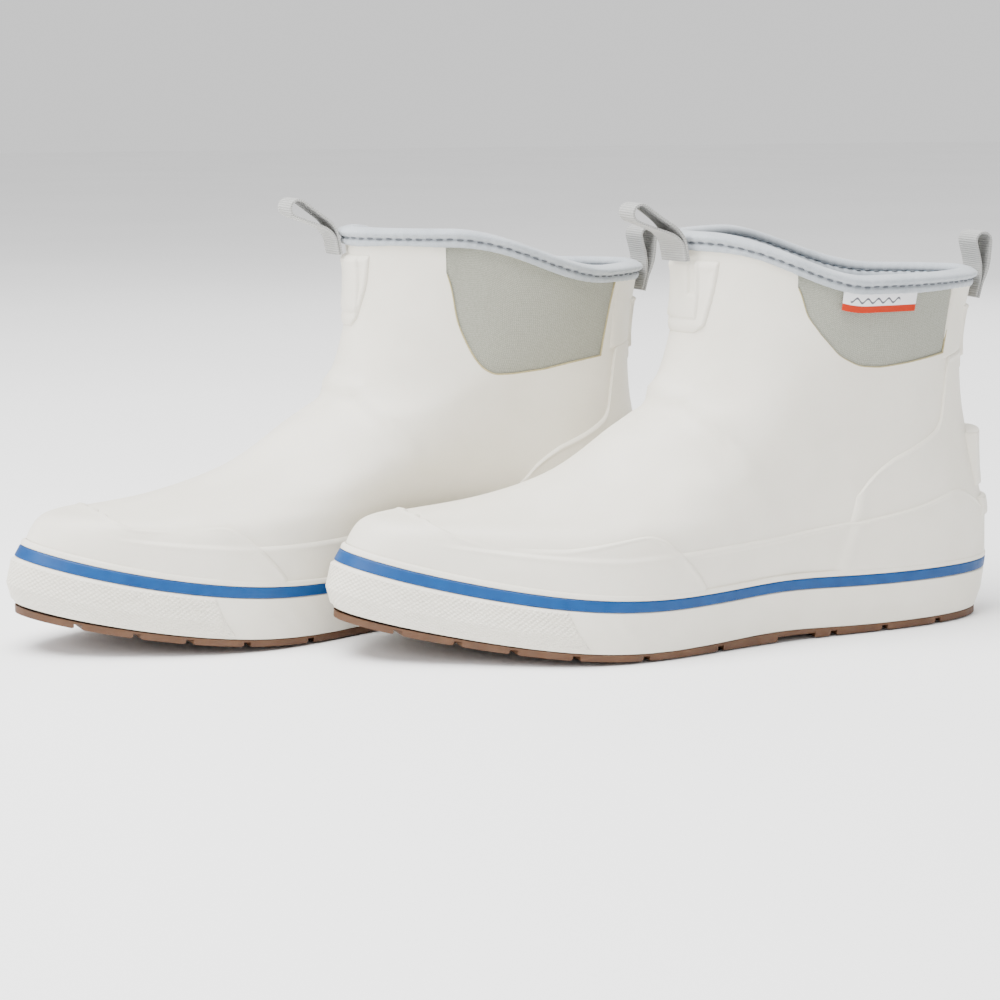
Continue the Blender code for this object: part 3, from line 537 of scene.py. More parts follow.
# Linear colours
WHITE_LIGHT = (0.790, 0.755, 0.665)
WHITE_DARK = (0.750, 0.715, 0.625)
WHITE_SPECK = (0.69, 0.65, 0.56)
BLUE_LIGHT = (0.000, 0.054, 0.200)
BLUE_DARK = (0.000, 0.042, 0.165)
GUM_LIGHT = (0.104, 0.046, 0.019)
GUM_DARK = (0.074, 0.032, 0.013)
BINDING_LIGHT = (0.430, 0.460, 0.490)
BINDING_DARK = (0.340, 0.370, 0.400)
GORE_LIGHT = (0.385, 0.390, 0.330)
GORE_DARK = (0.215, 0.220, 0.180)
LINING_LIGHT = (0.165, 0.205, 0.250)
LINING_DARK = (0.110, 0.140, 0.175)
WEB_LIGHT = (0.430, 0.430, 0.415)
WEB_DARK = (0.240, 0.240, 0.230)
LABEL_WHITE = (0.86, 0.86, 0.87)
LABEL_SHADE = (0.72, 0.72, 0.74)
LABEL_GREY = (0.10, 0.10, 0.12)
LABEL_ORANGE = (0.46, 0.022, 0.001)
LABEL_BAND = 2.7
LABEL_WAVE_HEIGHT = 5.0
LABEL_WAVE_SPAN = (3.0, 27.0)
FOAM_LIGHT = (0.60, 0.60, 0.57)
FOAM_DARK = (0.50, 0.50, 0.47)
BOARD_LIGHT = (0.46, 0.37, 0.25)
BOARD_DARK = (0.36, 0.28, 0.18)
STEEL_LIGHT = (0.60, 0.60, 0.61)
STEEL_DARK = (0.50, 0.50, 0.51)
FLOOR_LIGHT = (0.96, 0.96, 0.96)
FLOOR_DARK = (0.93, 0.93, 0.93)
THREAD_LIGHT = (0.16, 0.175, 0.20)
THREAD_DARK = (0.09, 0.10, 0.115)
GLUE_LIGHT = (0.46, 0.40, 0.22)
GLUE_DARK = (0.36, 0.30, 0.15)

# Each finish: its material and the record's slot
FINISHES = {
    "white_rubber": (white_rubber(), "white_rubber"),
    "blue_rubber": (coloured_rubber("blue_rubber_fine", BLUE_DARK, BLUE_LIGHT, 0.3, (160.0, 3.0),
                                    (300.0, 0.42, 0.56), (1500.0, 2.0, 0.03, 0.4)), "blue_rubber"),
    "gum_rubber": (coloured_rubber("gum_rubber_fine", GUM_DARK, GUM_LIGHT, 0.4, (110.0, 4.0),
                                   (260.0, 0.5, 0.7), (1300.0, 3.0, 0.06, 0.6)), "gum_rubber"),
    "gore": (knit("gore_fine", GORE_DARK, GORE_LIGHT, 0.95, 0.12, 0.2), "gore"),
    "binding": (brushed_cloth("binding_fine", BINDING_DARK, BINDING_LIGHT, 0.3), "binding"),
    "lining": (brushed_cloth("lining_fine", LINING_DARK, LINING_LIGHT, 0.35, 900.0, 0.12),
               "lining"),
    "footbed": (brushed_cloth("footbed_fine", LINING_DARK, BINDING_DARK, 0.2, 700.0, 0.15),
                "foam"),
    "webbing": (webbing(), "webbing"),
    "label": (label_cloth(), "label"),
    "thread": (plain("thread_fine", THREAD_DARK, THREAD_LIGHT, 0.7, 2500.0), "binding"),
    "glue": (plain("glue_fine", GLUE_DARK, GLUE_LIGHT, 0.45, 700.0), "gore"),
    "foam": (plain("foam_fine", FOAM_DARK, FOAM_LIGHT, 0.9, 800.0), "foam"),
    "board": (plain("board_fine", BOARD_DARK, BOARD_LIGHT, 0.9, 300.0), "board"),
    "steel": (plain("steel_fine", STEEL_DARK, STEEL_LIGHT, 0.35, 500.0, 1.0), "steel"),
}


# Meshes ------------------------------------------------------------------------------------

class Boot:
    """One boot of the pair: its name, its side and its place on the floor."""

    def __init__(self, name, side, place, turn):
        self.name = name
        self.side = side
        self.place = place
        self.turn = math.radians(turn)

    def world(self, points):
        """Millimetres in the boot's own axes to metres in the row frame."""
        x, y, z = np.asarray(points, float).T
        across, ahead = self.side * y, LENGTH / 2 - x
        c, s = math.cos(self.turn), math.sin(self.turn)
        return MM * np.stack([self.place[0] + across * c - ahead * s,
                              self.place[1] + across * s + ahead * c, z], axis=1)


def solid_volume(points, quads):
    """Signed volume of a closed mesh of quads."""
    a, b, c, d = [points[quads[:, i]] for i in range(4)]
    return (np.cross(b, c) * a).sum() + (np.cross(c, d) * a).sum()


def make(boot, name, points, quads, finish, stands_for=(), body=None, flow=None, sharp=45.0):
    """One piece from closed quads; flow is a place in millimetres on the piece's own surface."""
    quads = np.asarray(quads)
    used, quads = np.unique(quads, return_inverse=True)
    quads = quads.reshape(-1, 4)
    points = boot.world(points)[used]
    if solid_volume(points, quads) < 0:
        quads = quads[:, ::-1]
    mesh = bpy.data.meshes.new(boot.name + "_" + name)
    mesh.from_pydata(points.tolist(), [], quads.tolist())
    mesh.validate()
    mesh.shade_smooth()
    mesh.set_sharp_from_angle(angle=math.radians(sharp))
    if flow is not None:
        attribute = mesh.attributes.new("flow", "FLOAT_VECTOR", "POINT")
        attribute.data.foreach_set("vector", np.asarray(flow, np.float32)[used].ravel())
    piece = bpy.data.objects.new(mesh.name, mesh)
    bpy.context.scene.collection.objects.link(piece)
    mesh.materials.append(FINISHES[finish][0])
    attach(piece, boot.name + "_" + (body or "boot"))
    if stands_for:
        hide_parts(*[boot.name + "_" + node for node in stands_for])
    return piece


def slab(outer, inner, active=None, closed=False):
    """Closed quads between two grids of points; active marks the cells that are kept."""
    rows, columns = outer.shape[:2]
    across = columns if closed else columns - 1
    if active is None:
        active = np.ones((rows - 1, across), bool)
    r, c = np.meshgrid(np.arange(rows - 1), np.arange(across), indexing="ij")
    n = (c + 1) % columns
    a, b, d, e = r * columns + c, r * columns + n, (r + 1) * columns + n, (r + 1) * columns + c
    size = rows * columns
    faces = [np.stack([a, b, d, e], -1)[active],
             np.stack([e, d, b, a], -1)[active] + size]
    low, high = np.roll(active, 1, 0), np.roll(active, -1, 0)
    left, right = np.roll(active, 1, 1), np.roll(active, -1, 1)
    low[0] = high[-1] = False
    if not closed:
        left[:, 0] = right[:, -1] = False
    for beside, p, q in ((low, a, b), (right, b, d), (high, d, e), (left, e, a)):
        faces.append(np.stack([q, p, p + size, q + size], -1)[active & ~beside])
    points = np.concatenate([outer.reshape(-1, 3), inner.reshape(-1, 3)])
    return points, np.concatenate(faces)


def ring(loops):
    """Closed quads around a profile: loops is profile x columns x 3, closed both ways."""
    count, columns = loops.shape[:2]
    i, j = np.meshgrid(np.arange(count), np.arange(columns), indexing="ij")
    k, m = (i + 1) % count, (j + 1) % columns
    quads = np.stack([i * columns + j, i * columns + m, k * columns + m, k * columns + j], -1)
    return loops.reshape(-1, 3), quads.reshape(-1, 4)


def lidded(loops):
    """Closed quads up a stack of loops, with strips across at both ends."""
    count, columns = loops.shape[:2]
    i, j = np.meshgrid(np.arange(count - 1), np.arange(columns), indexing="ij")
    m = (j + 1) % columns
    sides = np.stack([i * columns + j, i * columns + m,
                      (i + 1) * columns + m, (i + 1) * columns + j], -1).reshape(-1, 4)
    k = np.arange(columns // 2 - 1)
    strip = np.stack([k + 1, k, (-k - 1) % columns, (-k - 2) % columns], -1)
    last = (count - 1) * columns
    return loops.reshape(-1, 3), np.concatenate([sides, strip, strip[:, ::-1] + last])


def tube(path, radius, sides=8):
    """A round thread along a path of points, with closed blunt ends."""
    path = np.asarray(path, float)
    run = np.gradient(path, axis=0)
    run /= np.linalg.norm(run, axis=1)[:, None]
    up = np.cross(run, np.array([0.31, 0.17, 0.94]))
    up /= np.linalg.norm(up, axis=1)[:, None]
    aside = np.cross(run, up)
    turn = np.linspace(0, 2 * math.pi, sides, endpoint=False)
    size = np.full(len(path), radius)
    size[[0, -1]] *= 0.35
    loops = path[:, None] + size[:, None, None] * (np.cos(turn)[None, :, None] * up[:, None]
                                                   + np.sin(turn)[None, :, None] * aside[:, None])
    return lidded(loops)


def joined(parts):
    """Several closed meshes as one."""
    points, quads, count = [], [], 0
    for p, q in parts:
        points.append(p)
        quads.append(q + count)
        count += len(p)
    return np.concatenate(points), np.concatenate(quads)


# Reading the skin --------------------------------------------------------------------------

def even_phi(count, t=None, start=0.0, end=360.0):
    """Angles whose points lie evenly along the sole's wall, or along the skin's row at t."""
    phi = np.linspace(start, end, FINE_STEPS)
    if t is None:
        line = sole_point(np.radians(phi), BAND_TOP / 2, wall_insets(BAND_TOP / 2))
    else:
        line = upper_point(np.full(FINE_STEPS, t), np.radians(phi))
    walk = np.concatenate([[0], np.cumsum(np.linalg.norm(np.diff(line, axis=0), axis=1))])
    closed = end - start == 360.0
    return np.interp(np.linspace(0, walk[-1], count, endpoint=not closed), walk, phi)


def turn_from_toe(phi):
    phi = np.mod(phi, 360)
    return np.minimum(phi, 360 - phi)


def smooth_edge(edge, at, reach=4.0):
    """An edge given by a few points, read with its corners rounded over a reach."""
    knots = np.array(edge, float)
    total = 0.0
    steps = np.linspace(-1, 1, 9)
    weights = 1.2 - np.abs(steps)
    for step, weight in zip(steps, weights):
        total = total + weight * np.interp(at + step * reach, knots[:, 0], knots[:, 1])
    return total / weights.sum()


def rounded(distance, radius):
    """0 at an edge, rising on a quarter circle to 1 at a radius from it."""
    share = np.clip(distance / radius, 0, 1)
    return np.sqrt(1 - (1 - share) ** 2)


def spread(t, phi, offset):
    """shell() for grids of any shape."""
    t, phi, offset = np.broadcast_arrays(t, phi, offset)
    return shell(t.ravel(), phi.ravel(), offset.ravel()).reshape(*t.shape, 3)


def bump_line(distance, width):
    return np.exp(-(distance / width) ** 2)


def soft_noise(t, phi, pace, seed):
    """A smooth, repeatable unevenness between -1 and 1 that closes around the boot."""
    rng = np.random.default_rng(seed)
    total = np.zeros(np.broadcast(t, phi).shape)
    for wave in range(1, 9):
        turn, rise = rng.integers(1, pace + 1), rng.uniform(2, 3.0 * pace)
        start = rng.uniform(0, 6.28)
        total = total + np.sin(np.radians(phi) * turn + rise * t + start) / 8 ** 0.5
    return total


def instep_fold(t, phi):
    """The soft ridge where the shaft runs out into the foot, strongest at the front."""
    turn = turn_from_toe(phi)
    line = np.interp(turn, INSTEP_FOLD[0], INSTEP_FOLD[1])
    strength = 1 - ease(62.0, 98.0, turn)
    return strength * (1.5 * bump_line(t - line, 0.013) - 1.0 * bump_line(t - line + 0.034, 0.02))


def upper_relief(t, phi):
    """How far the moulded upper stands off the plain skin."""
    free = ease(0.25, 0.4, t) * (1 - ease(0.8, 0.95, t))
    return instep_fold(t, phi) + 0.22 * free * soft_noise(t, phi, 5, 3)


# Sole --------------------------------------------------------------------------------------

def wall_ring(profile):
    """A ring of the foxing from a closed profile of (height above tread, inset) points."""
    phi = np.radians(even_phi(SOLE_COLUMNS))
    return np.stack([sole_point(phi, height, wall_insets(height, inset))
                     for height, inset in profile])


def round_profile(low, high, thickness, radius):
    """A band's cross section with its two outer edges rounded."""
    corner = np.radians(np.linspace(90, 0, 6))
    lower = [(low + radius * (1 - math.cos(c)), radius * (1 - math.sin(c))) for c in corner[::-1]]
    upper = [(high - h + low, i) for h, i in reversed(lower)]
    middle = [(h, 0.0) for h in np.linspace(low + radius, high - radius, 8)[1:-1]]
    return lower + middle + upper + [(high, thickness), (low, thickness)]


def foxing(boot):
    """The white foxing wall with its blue stripe and the bead above it."""
    rows = (("foxing_band", -WELT_DROP, BAND_TOP, 2.6, 0.9, "white_rubber"),
            ("stripe_band", BAND_TOP + 0.1, STRIPE_TOP, 1.4, 0.5, "blue_rubber"),
            ("foxing_bead", STRIPE_TOP + 0.1, BEAD_TOP, 1.4, 0.7, "white_rubber"))
    for name, low, high, thickness, radius, finish in rows:
        loops = wall_ring(round_profile(low, high, thickness, radius))
        if name == "foxing_band":
            loops = flexed(loops)
        make(boot, name + "_fine", *ring(loops), finish, [name], sharp=60)


def flexed(loops):
    """Faint dents in the wall where the forefoot bends."""
    x, z = loops[..., 0], loops[..., 2]
    dent = np.zeros_like(x)
    for place, lean, depth in FLEX_DENTS:
        dent += depth * bump_line(x - place - lean * (z - 14.0), 3.4)
    fade = bump_line(z - 13.0, 6.0)
    out = np.sign(loops[..., 1])
    loops[..., 1] -= out * dent * fade
    return loops


def outsole(boot):
    """The gum tread: lugs with slanted ends between the cross grooves, hollow at the arch."""
    cuts = [(x - GROOVE_WIDTH / 2, x + GROOVE_WIDTH / 2, GROOVE_DEPTH) for x in GROOVES]
    cuts.append((*ARCH_HOLLOW, ARCH_HOLLOW_DEPTH))
    front, back, _ = wall_insets(0.0, 0.25)
    ends = np.array([back, LENGTH - front])
    turn = np.linspace(math.pi, 0, 260)
    x = [(ends[0] + ends[1]) / 2 + (ends[1] - ends[0]) / 2 * np.cos(turn)]
    for low, high, _ in cuts:
        x.append(np.array([low - LUG_LIP, low - LUG_LIP / 2, low, low + CUT_DRAFT,
                           high - CUT_DRAFT, high, high + LUG_LIP / 2, high + LUG_LIP]))
    x = np.unique(np.round(np.concatenate(x), 3))
    x = x[(x >= ends[0]) & (x <= ends[1])]
    lift = np.zeros_like(x)
    for low, high, depth in cuts:
        inside = (x > low) & (x < high)
        lift[inside] = depth
        for edge, way in ((low, -1), (high, 1)):
            near = (x - edge) * way
            lip = (near >= 0) & (near < LUG_LIP)
            lift[lip] = np.maximum(lift[lip], LUG_LIP_RISE * (1 - near[lip] / LUG_LIP) ** 2)
    share = (x - ends[0]) / (ends[1] - ends[0])
    phi = np.arccos(np.clip(2 * share - 1, -1, 1))
    outer_line, inner_line = [sole_point(side * phi, 0.0, wall_insets(0.0, 0.25))
                              for side in (1, -1)]
    ground = ground_lift(x / LENGTH)
    top = wall_z(-WELT_DROP, x / LENGTH) - 0.1
    across = np.concatenate([[0.0], 0.012 * np.array([0.25, 1.0]), np.linspace(0.05, 0.95, 19),
                             1 - 0.012 * np.array([1.0, 0.25]), [1.0]])
    tuck = np.interp(across, [0, 0.003, 0.012, 0.988, 0.997, 1.0], [1.0, 0.35, 0, 0, 0.35, 1.0])
    wide = inner_line[:, 1] - outer_line[:, 1]
    y = outer_line[:, 1][:, None] + wide[:, None] * across[None, :]
    low_z = (ground + lift)[:, None] + tuck[None, :] * 0.9
    siping = np.zeros_like(y)
    for wave, place in enumerate(SIPE_PLACES):
        path = place + SIPE_SWAY * np.sin(y / SIPE_RUN + wave)
        siping += SIPE_DEPTH * (np.abs(x[:, None] - path) < SIPE_WIDTH / 2)
    inside = (across > 0.1) & (across < 0.9)
    low_z = np.minimum(low_z + siping * inside[None, :], top[:, None] - 0.8)
    grid_low = np.stack([np.repeat(x[:, None], len(across), 1), y, low_z], -1)
    grid_top = np.stack([np.repeat(x[:, None], len(across), 1), y,
                         np.repeat(top[:, None], len(across), 1)], -1)
    make(boot, "outsole_fine", *slab(grid_low, grid_top), "gum_rubber", ["outsole"], sharp=30)


def toe_bumper(boot):
    """The knurled strip around the front of the foxing: rows of small diamonds."""
    start, end = BUMPER_PHI
    phi = even_phi(BUMPER_COLUMNS, None, start, end)
    heights = np.linspace(*BUMPER_HEIGHTS, BUMPER_ROWS)
    line = sole_point(np.radians(phi), 7.0, wall_insets(7.0))
    walk = np.concatenate([[0], np.cumsum(np.linalg.norm(np.diff(line, axis=0), axis=1))])
    u, v = np.meshgrid(walk, heights)
    first = np.abs(np.mod((u + KNURL_SLANT * v) / KNURL, 1) - 0.5) * 2
    second = np.abs(np.mod((u - KNURL_SLANT * v) / KNURL, 1) - 0.5) * 2
    diamond = np.clip(np.minimum(first, second) * 1.6, 0, 1)
    ends = np.minimum(u, walk[-1] - u)
    edge = rounded(np.minimum(np.minimum(v - heights[0], heights[-1] - v), ends), 0.8)
    rise = edge * (0.45 + 0.55 * diamond)
    outer, inner = [], []
    for i, height in enumerate(heights):
        turns = np.radians(phi * (1 - BUMPER_SLANT * (height - heights[0]) / heights[-1]))
        base = sole_point(turns, height, wall_insets(height))
        away = sole_point(turns, height, wall_insets(height, -1.0)) - base
        away /= np.linalg.norm(away, axis=1)[:, None]
        outer.append(base + away * rise[i][:, None])
        inner.append(base - away * 0.4)
    points, quads = slab(np.stack(outer), np.stack(inner))
    make(boot, "toe_bumper_fine", points, quads, "white_rubber", ["toe_bumper"], sharp=70)


# Upper -------------------------------------------------------------------------------------

def window_line(phi):
    """The lower edge of the gore windows in t, joined up across the toe and the heel."""
    phi = np.mod(phi, 360)
    outer = smooth_edge(GORE_OUTER, phi, 3.0)
    inner = smooth_edge(GORE_INNER, 360 - phi, 3.0)
    back = np.interp(phi, [GORE_OUTER[-1][0], 360 - GORE_INNER[-1][0]],
                     [GORE_OUTER[-1][1], GORE_INNER[-1][1]])
    line = np.where(phi < GORE_OUTER[-1][0], outer, back)
    return np.where(phi > 360 - GORE_INNER[-1][0], inner, line)


def upper_columns():
    """Columns of the upper, with one on each upright edge of the windows."""
    turns = even_phi(UPPER_COLUMNS, 0.2)
    for edge in (GORE_OUTER[0][0], GORE_OUTER[-1][0], 360 - GORE_INNER[0][0],
                 360 - GORE_INNER[-1][0]):
        turns[np.argmin(np.abs(turns - edge))] = edge
    return turns


def rubber_upper(boot):
    """The rubber shell with an open window for each gore."""
    phi = upper_columns()
    line = window_line(phi)
    below = np.linspace(0, 1, UPPER_ROWS)[:, None]
    above = np.linspace(0, 1, 22)[1:, None]
    t = np.concatenate([UPPER_FOOT + (line - UPPER_FOOT) * below,
                        line + (collar_t(phi, 2.0) - line) * above])
    turns = np.broadcast_to(phi, t.shape)
    middle = phi + np.mod(np.roll(phi, -1) - phi, 360) / 2
    in_window = ((middle > GORE_OUTER[0][0]) & (middle < GORE_OUTER[-1][0])
                 | (middle > 360 - GORE_INNER[-1][0]) & (middle < 360 - GORE_INNER[0][0]))
    active = np.ones((len(t) - 1, len(phi)), bool)
    active[UPPER_ROWS - 1:-2, in_window] = False
    outer = spread(t, turns, upper_relief(t, turns))
    inner = spread(t, turns, -1.8)
    points, quads = slab(outer, inner, active, closed=True)
    make(boot, "rubber_upper_fine", points, quads, "white_rubber", ["rubber_upper"])


def gore_grid(edge, side, rows, columns):
    knots = np.array(edge, float)
    phi = np.linspace(knots[0, 0], knots[-1, 0], columns)
    low = window_line(side * phi if side > 0 else 360 - phi)
    share = np.linspace(0, 1, rows)[:, None]
    t = low + (collar_t(side * phi, GORE_HIDDEN) - low) * share
    return t, np.broadcast_to(side * phi, t.shape)


def flow_of(grid):
    """Distances along the rows and up the columns of a grid, in millimetres."""
    along_row = np.linalg.norm(np.diff(grid, axis=1), axis=2)
    u = np.concatenate([np.zeros((len(grid), 1)), np.cumsum(along_row, axis=1)], axis=1)
    up = np.linalg.norm(np.diff(grid, axis=0), axis=2)
    v = np.concatenate([np.zeros((1, grid.shape[1])), np.cumsum(up, axis=0)], axis=0)
    flow = np.stack([u, v, np.zeros_like(u)], -1).reshape(-1, 3)
    return np.concatenate([flow, flow])


def gores(boot):
    """The stretch knit panels, a little below the rubber, with a line of glue around them."""
    for name, edge, side in (("lateral_gore", GORE_OUTER, 1), ("medial_gore", GORE_INNER, -1)):
        t, phi = gore_grid(edge, side, 40, 140)
        swell = 0.35 * np.sin(np.linspace(0, math.pi, 40))[:, None] * np.ones_like(t)
        outer = spread(t, phi, -0.75 + swell)
        inner = spread(t, phi, -1.7)
        make(boot, name + "_fine", *slab(outer, inner), "gore", [name], flow=flow_of(outer))
        side_t = np.linspace(t[0, -1], t[-1, -1], 40)
        path = np.concatenate([spread(t[0], phi[0], -0.3),
                               spread(side_t, np.full(40, phi[0, -1]), -0.3)])
        make(boot, name + "_glue", *tube(path, 0.42), "glue")


def patch(boot, name, t, phi, rise, finish, stands_for, depth=0.6, flow=False, sharp=60):
    """A piece laid on the skin: rise is how far its face stands off, from grids of t and phi."""
    outer = spread(t, phi, rise + upper_relief(t, phi))
    inner = spread(t, phi, -depth)
    return make(boot, name, *slab(outer, inner), finish, stands_for,
                flow=flow_of(outer) if flow else None, sharp=sharp)


def edge_rows(count):
    """Shares from 0 to 1, closer together towards 1."""
    return 1 - (1 - np.linspace(0, 1, count)) ** 1.7


def toe_cap(boot):
    """The moulded toe piece; the rand's edge shows through it as a soft step."""
    phi = even_phi(170, 0.05, TOE_EDGE[0][0], TOE_EDGE[-1][0])
    high = smooth_edge(TOE_EDGE, phi, 2.0)
    t = FOOT + (high - FOOT) * edge_rows(60)[:, None]
    turns = np.broadcast_to(phi, t.shape)
    to_top = (high - t) * SKIN_PACE
    to_side = np.minimum(turns - phi[0], phi[-1] - turns) * TURN_PACE
    edge = np.minimum(to_top, to_side)
    soft = bump_line(np.abs(turns) - 48.0, 9.0)
    rise = (1 - soft) * (rounded(edge, 1.4) + EDGE_BEAD * bump_line(edge - 1.5, 0.9))
    rise += soft * ease(0.0, 9.0, edge)
    rand = 0.092 + 0.016 * ease(68, 84, np.abs(turns))
    side = ease(30, 48, np.abs(turns)) * ease(1.0, 2.0, to_side)
    rise += side * 0.7 * (1 - ease(-0.006, 0.006, t - rand))
    rise += side * EDGE_BEAD * bump_line((t - rand) * SKIN_PACE + 0.8, 0.9)
    patch(boot, "toe_cap_fine", t, turns, rise, "white_rubber", ["toe_cap"])


def side_guard(boot):
    """The rand from the ball round the heel, with the counter's front edge showing through."""
    end = 360 + TOE_EDGE[0][0]
    phi = even_phi(260, 0.05, TOE_EDGE[-1][0] - 16, end + 12)
    turn = turn_from_toe(phi)
    high = smooth_edge(GUARD_EDGE, turn)
    t = FOOT + (high - FOOT) * edge_rows(40)[:, None]
    turns = np.broadcast_to(phi, t.shape)
    edge = (high - t) * SKIN_PACE
    beyond = (turn_from_toe(turns) - 114.0 - 12.0 * t) * PATCH_PACE
    rise = (0.8 + 0.9 * ease(-0.6, 0.6, beyond)) * rounded(edge, 1.2)
    step = rounded(edge, 1.2) * bump_line(beyond - 0.8, 0.8)
    rise += EDGE_BEAD * (bump_line(edge - 1.3, 0.9) + step)
    patch(boot, "side_guard_fine", t, turns, rise, "white_rubber", ["side_guard"])


def heel_counter(boot):
    start = COUNTER_EDGE[0][0]
    phi = even_phi(200, 0.3, start, 360 - start)
    turn = turn_from_toe(phi)
    low = smooth_edge(GUARD_EDGE, turn) - 0.02
    high = smooth_edge(COUNTER_EDGE, turn, 1.5)
    t = low + (high - low) * edge_rows(70)[:, None]
    turns = np.broadcast_to(phi, t.shape)
    to_side = np.minimum(turns - start, 360 - start - turns) * 0.8
    edge = np.minimum((high - t) * SKIN_PACE, to_side)
    rise = 0.9 * rounded(edge, 1.2) + EDGE_BEAD * bump_line(edge - 1.3, 0.9)
    patch(boot, "heel_counter_fine", t, turns, rise, "white_rubber", ["heel_counter"])


def back_stay(boot):
    """The strip up the back, between the gores."""
    t = np.linspace(STAY_FOOT, 0.95, 50)
    edge = np.interp(t, *np.transpose(STAY_EDGE)) - STAY_LAP
    share = np.linspace(0, 1, 60)
    phi = edge[:, None] + (360 - 2 * edge)[:, None] * share
    grid_t = np.broadcast_to(t[:, None], phi.shape)
    to_side = np.minimum(phi - edge[:, None], 360 - edge[:, None] - phi) * 0.55
    to_foot = (grid_t - t[0]) * SKIN_PACE
    rise = 0.85 * rounded(np.minimum(to_side, to_foot), 1.2)
    patch(boot, "back_stay_fine", grid_t, phi, rise, "white_rubber", ["back_stay"])


def pull_patches(boot):
    """The moulded patches that hold the loops: a thin wing and a thick pad with a pocket."""
    for name, rows, pad, thick in (("front_pull_patch", FRONT_PATCH, FRONT_PAD, 2.4),
                                   ("rear_pull_patch", REAR_PATCH, REAR_PAD, 2.6)):
        table = np.array(rows, float)
        t = np.linspace(table[0, 0], table[-1, 0], 70)
        start, end = [np.interp(t, table[:, 0], table[:, i]) for i in (1, 2)]
        share = np.linspace(0, 1, 90)
        phi = start[:, None] + (end - start)[:, None] * share
        grid = np.broadcast_to(t[:, None], phi.shape)
        to_side = np.minimum(phi - start[:, None], end[:, None] - phi) * PATCH_PACE
        to_foot, to_top = (grid - t[0]) * SKIN_PACE, (t[-1] - grid) * SKIN_PACE
        edge = np.minimum(np.minimum(to_side, to_foot), to_top)
        rise = 1.1 * rounded(edge, 1.1) + EDGE_BEAD * bump_line(edge - 1.2, 0.8)
        inside = np.minimum(phi - pad[0], pad[1] - phi) * PATCH_PACE
        inside = np.minimum(inside, (grid - pad[2]) * SKIN_PACE)
        rise += (thick - 1.1) * rounded(np.minimum(inside, edge), 1.5)
        pocket = np.minimum(phi - pad[3], pad[4] - phi) * PATCH_PACE
        pocket = np.minimum(pocket, (grid - pad[5]) * SKIN_PACE)
        rise -= pad[6] * ease(0.0, 0.9, pocket)
        patch(boot, name + "_fine", grid, phi, rise, "white_rubber", [name])


def heel_piece(boot, name, rows, table, radius):
    """A raised piece on the heel, as proud at each t as its table says, with rounded edges."""
    phi = np.linspace(KICK_TAB_TURN, 360 - KICK_TAB_TURN, 60)
    t = rows[:, None] + 0 * phi
    turns = np.broadcast_to(phi, t.shape)
    proud = np.interp(t, *np.transpose(table))
    to_side = np.minimum(turns - phi[0], phi[-1] - turns) * HEEL_PACE
    edge = np.minimum(np.minimum(t - rows[0], rows[-1] - t) * SKIN_PACE, to_side)
    rise = HEEL_ROOT + (proud - HEEL_ROOT) * rounded(edge, radius)
    patch(boot, name + "_fine", t, turns, rise, "white_rubber", [name])


def heel_tabs(boot):
    """The kick-off shelf, which juts out at its top, and the rib below it."""
    top = KICK_TAB[-1][0]
    rows = np.append(np.linspace(KICK_TAB[0][0], top, 40), top + KICK_TAB_LIP)
    heel_piece(boot, "heel_kick_tab", rows, KICK_TAB, 0.6)
    heel_piece(boot, "heel_rib", np.linspace(HEEL_RIB[0][0], HEEL_RIB[-1][0], 24), HEEL_RIB, 1.6)


def side_label(boot):
    """A folded woven tag that hangs from the binding's seam, white over an orange-red band."""
    columns, rows = 90, 40
    start, end = LABEL_PHI
    share = np.linspace(0, 1, rows)
    phi = np.linspace(start, end, columns)
    top = collar_t(phi, LABEL_HANG[0])
    foot = collar_t(phi, LABEL_HANG[1])
    t = foot + (top - foot) * share[:, None]
    turns = np.broadcast_to(phi, t.shape)
    curl = 0.9 * (1 - share[:, None]) ** 1.6 * (1 + 0.35 * np.cos(np.radians(turns * 9)))
    outer = spread(t, turns, 0.9 + curl)
    inner = spread(t, turns, 0.3 + curl)
    make(boot, "side_label_fine", *slab(outer, inner), "label", ["side_label"], flow=flow_of(outer))


# Collar and inside -------------------------------------------------------------------------

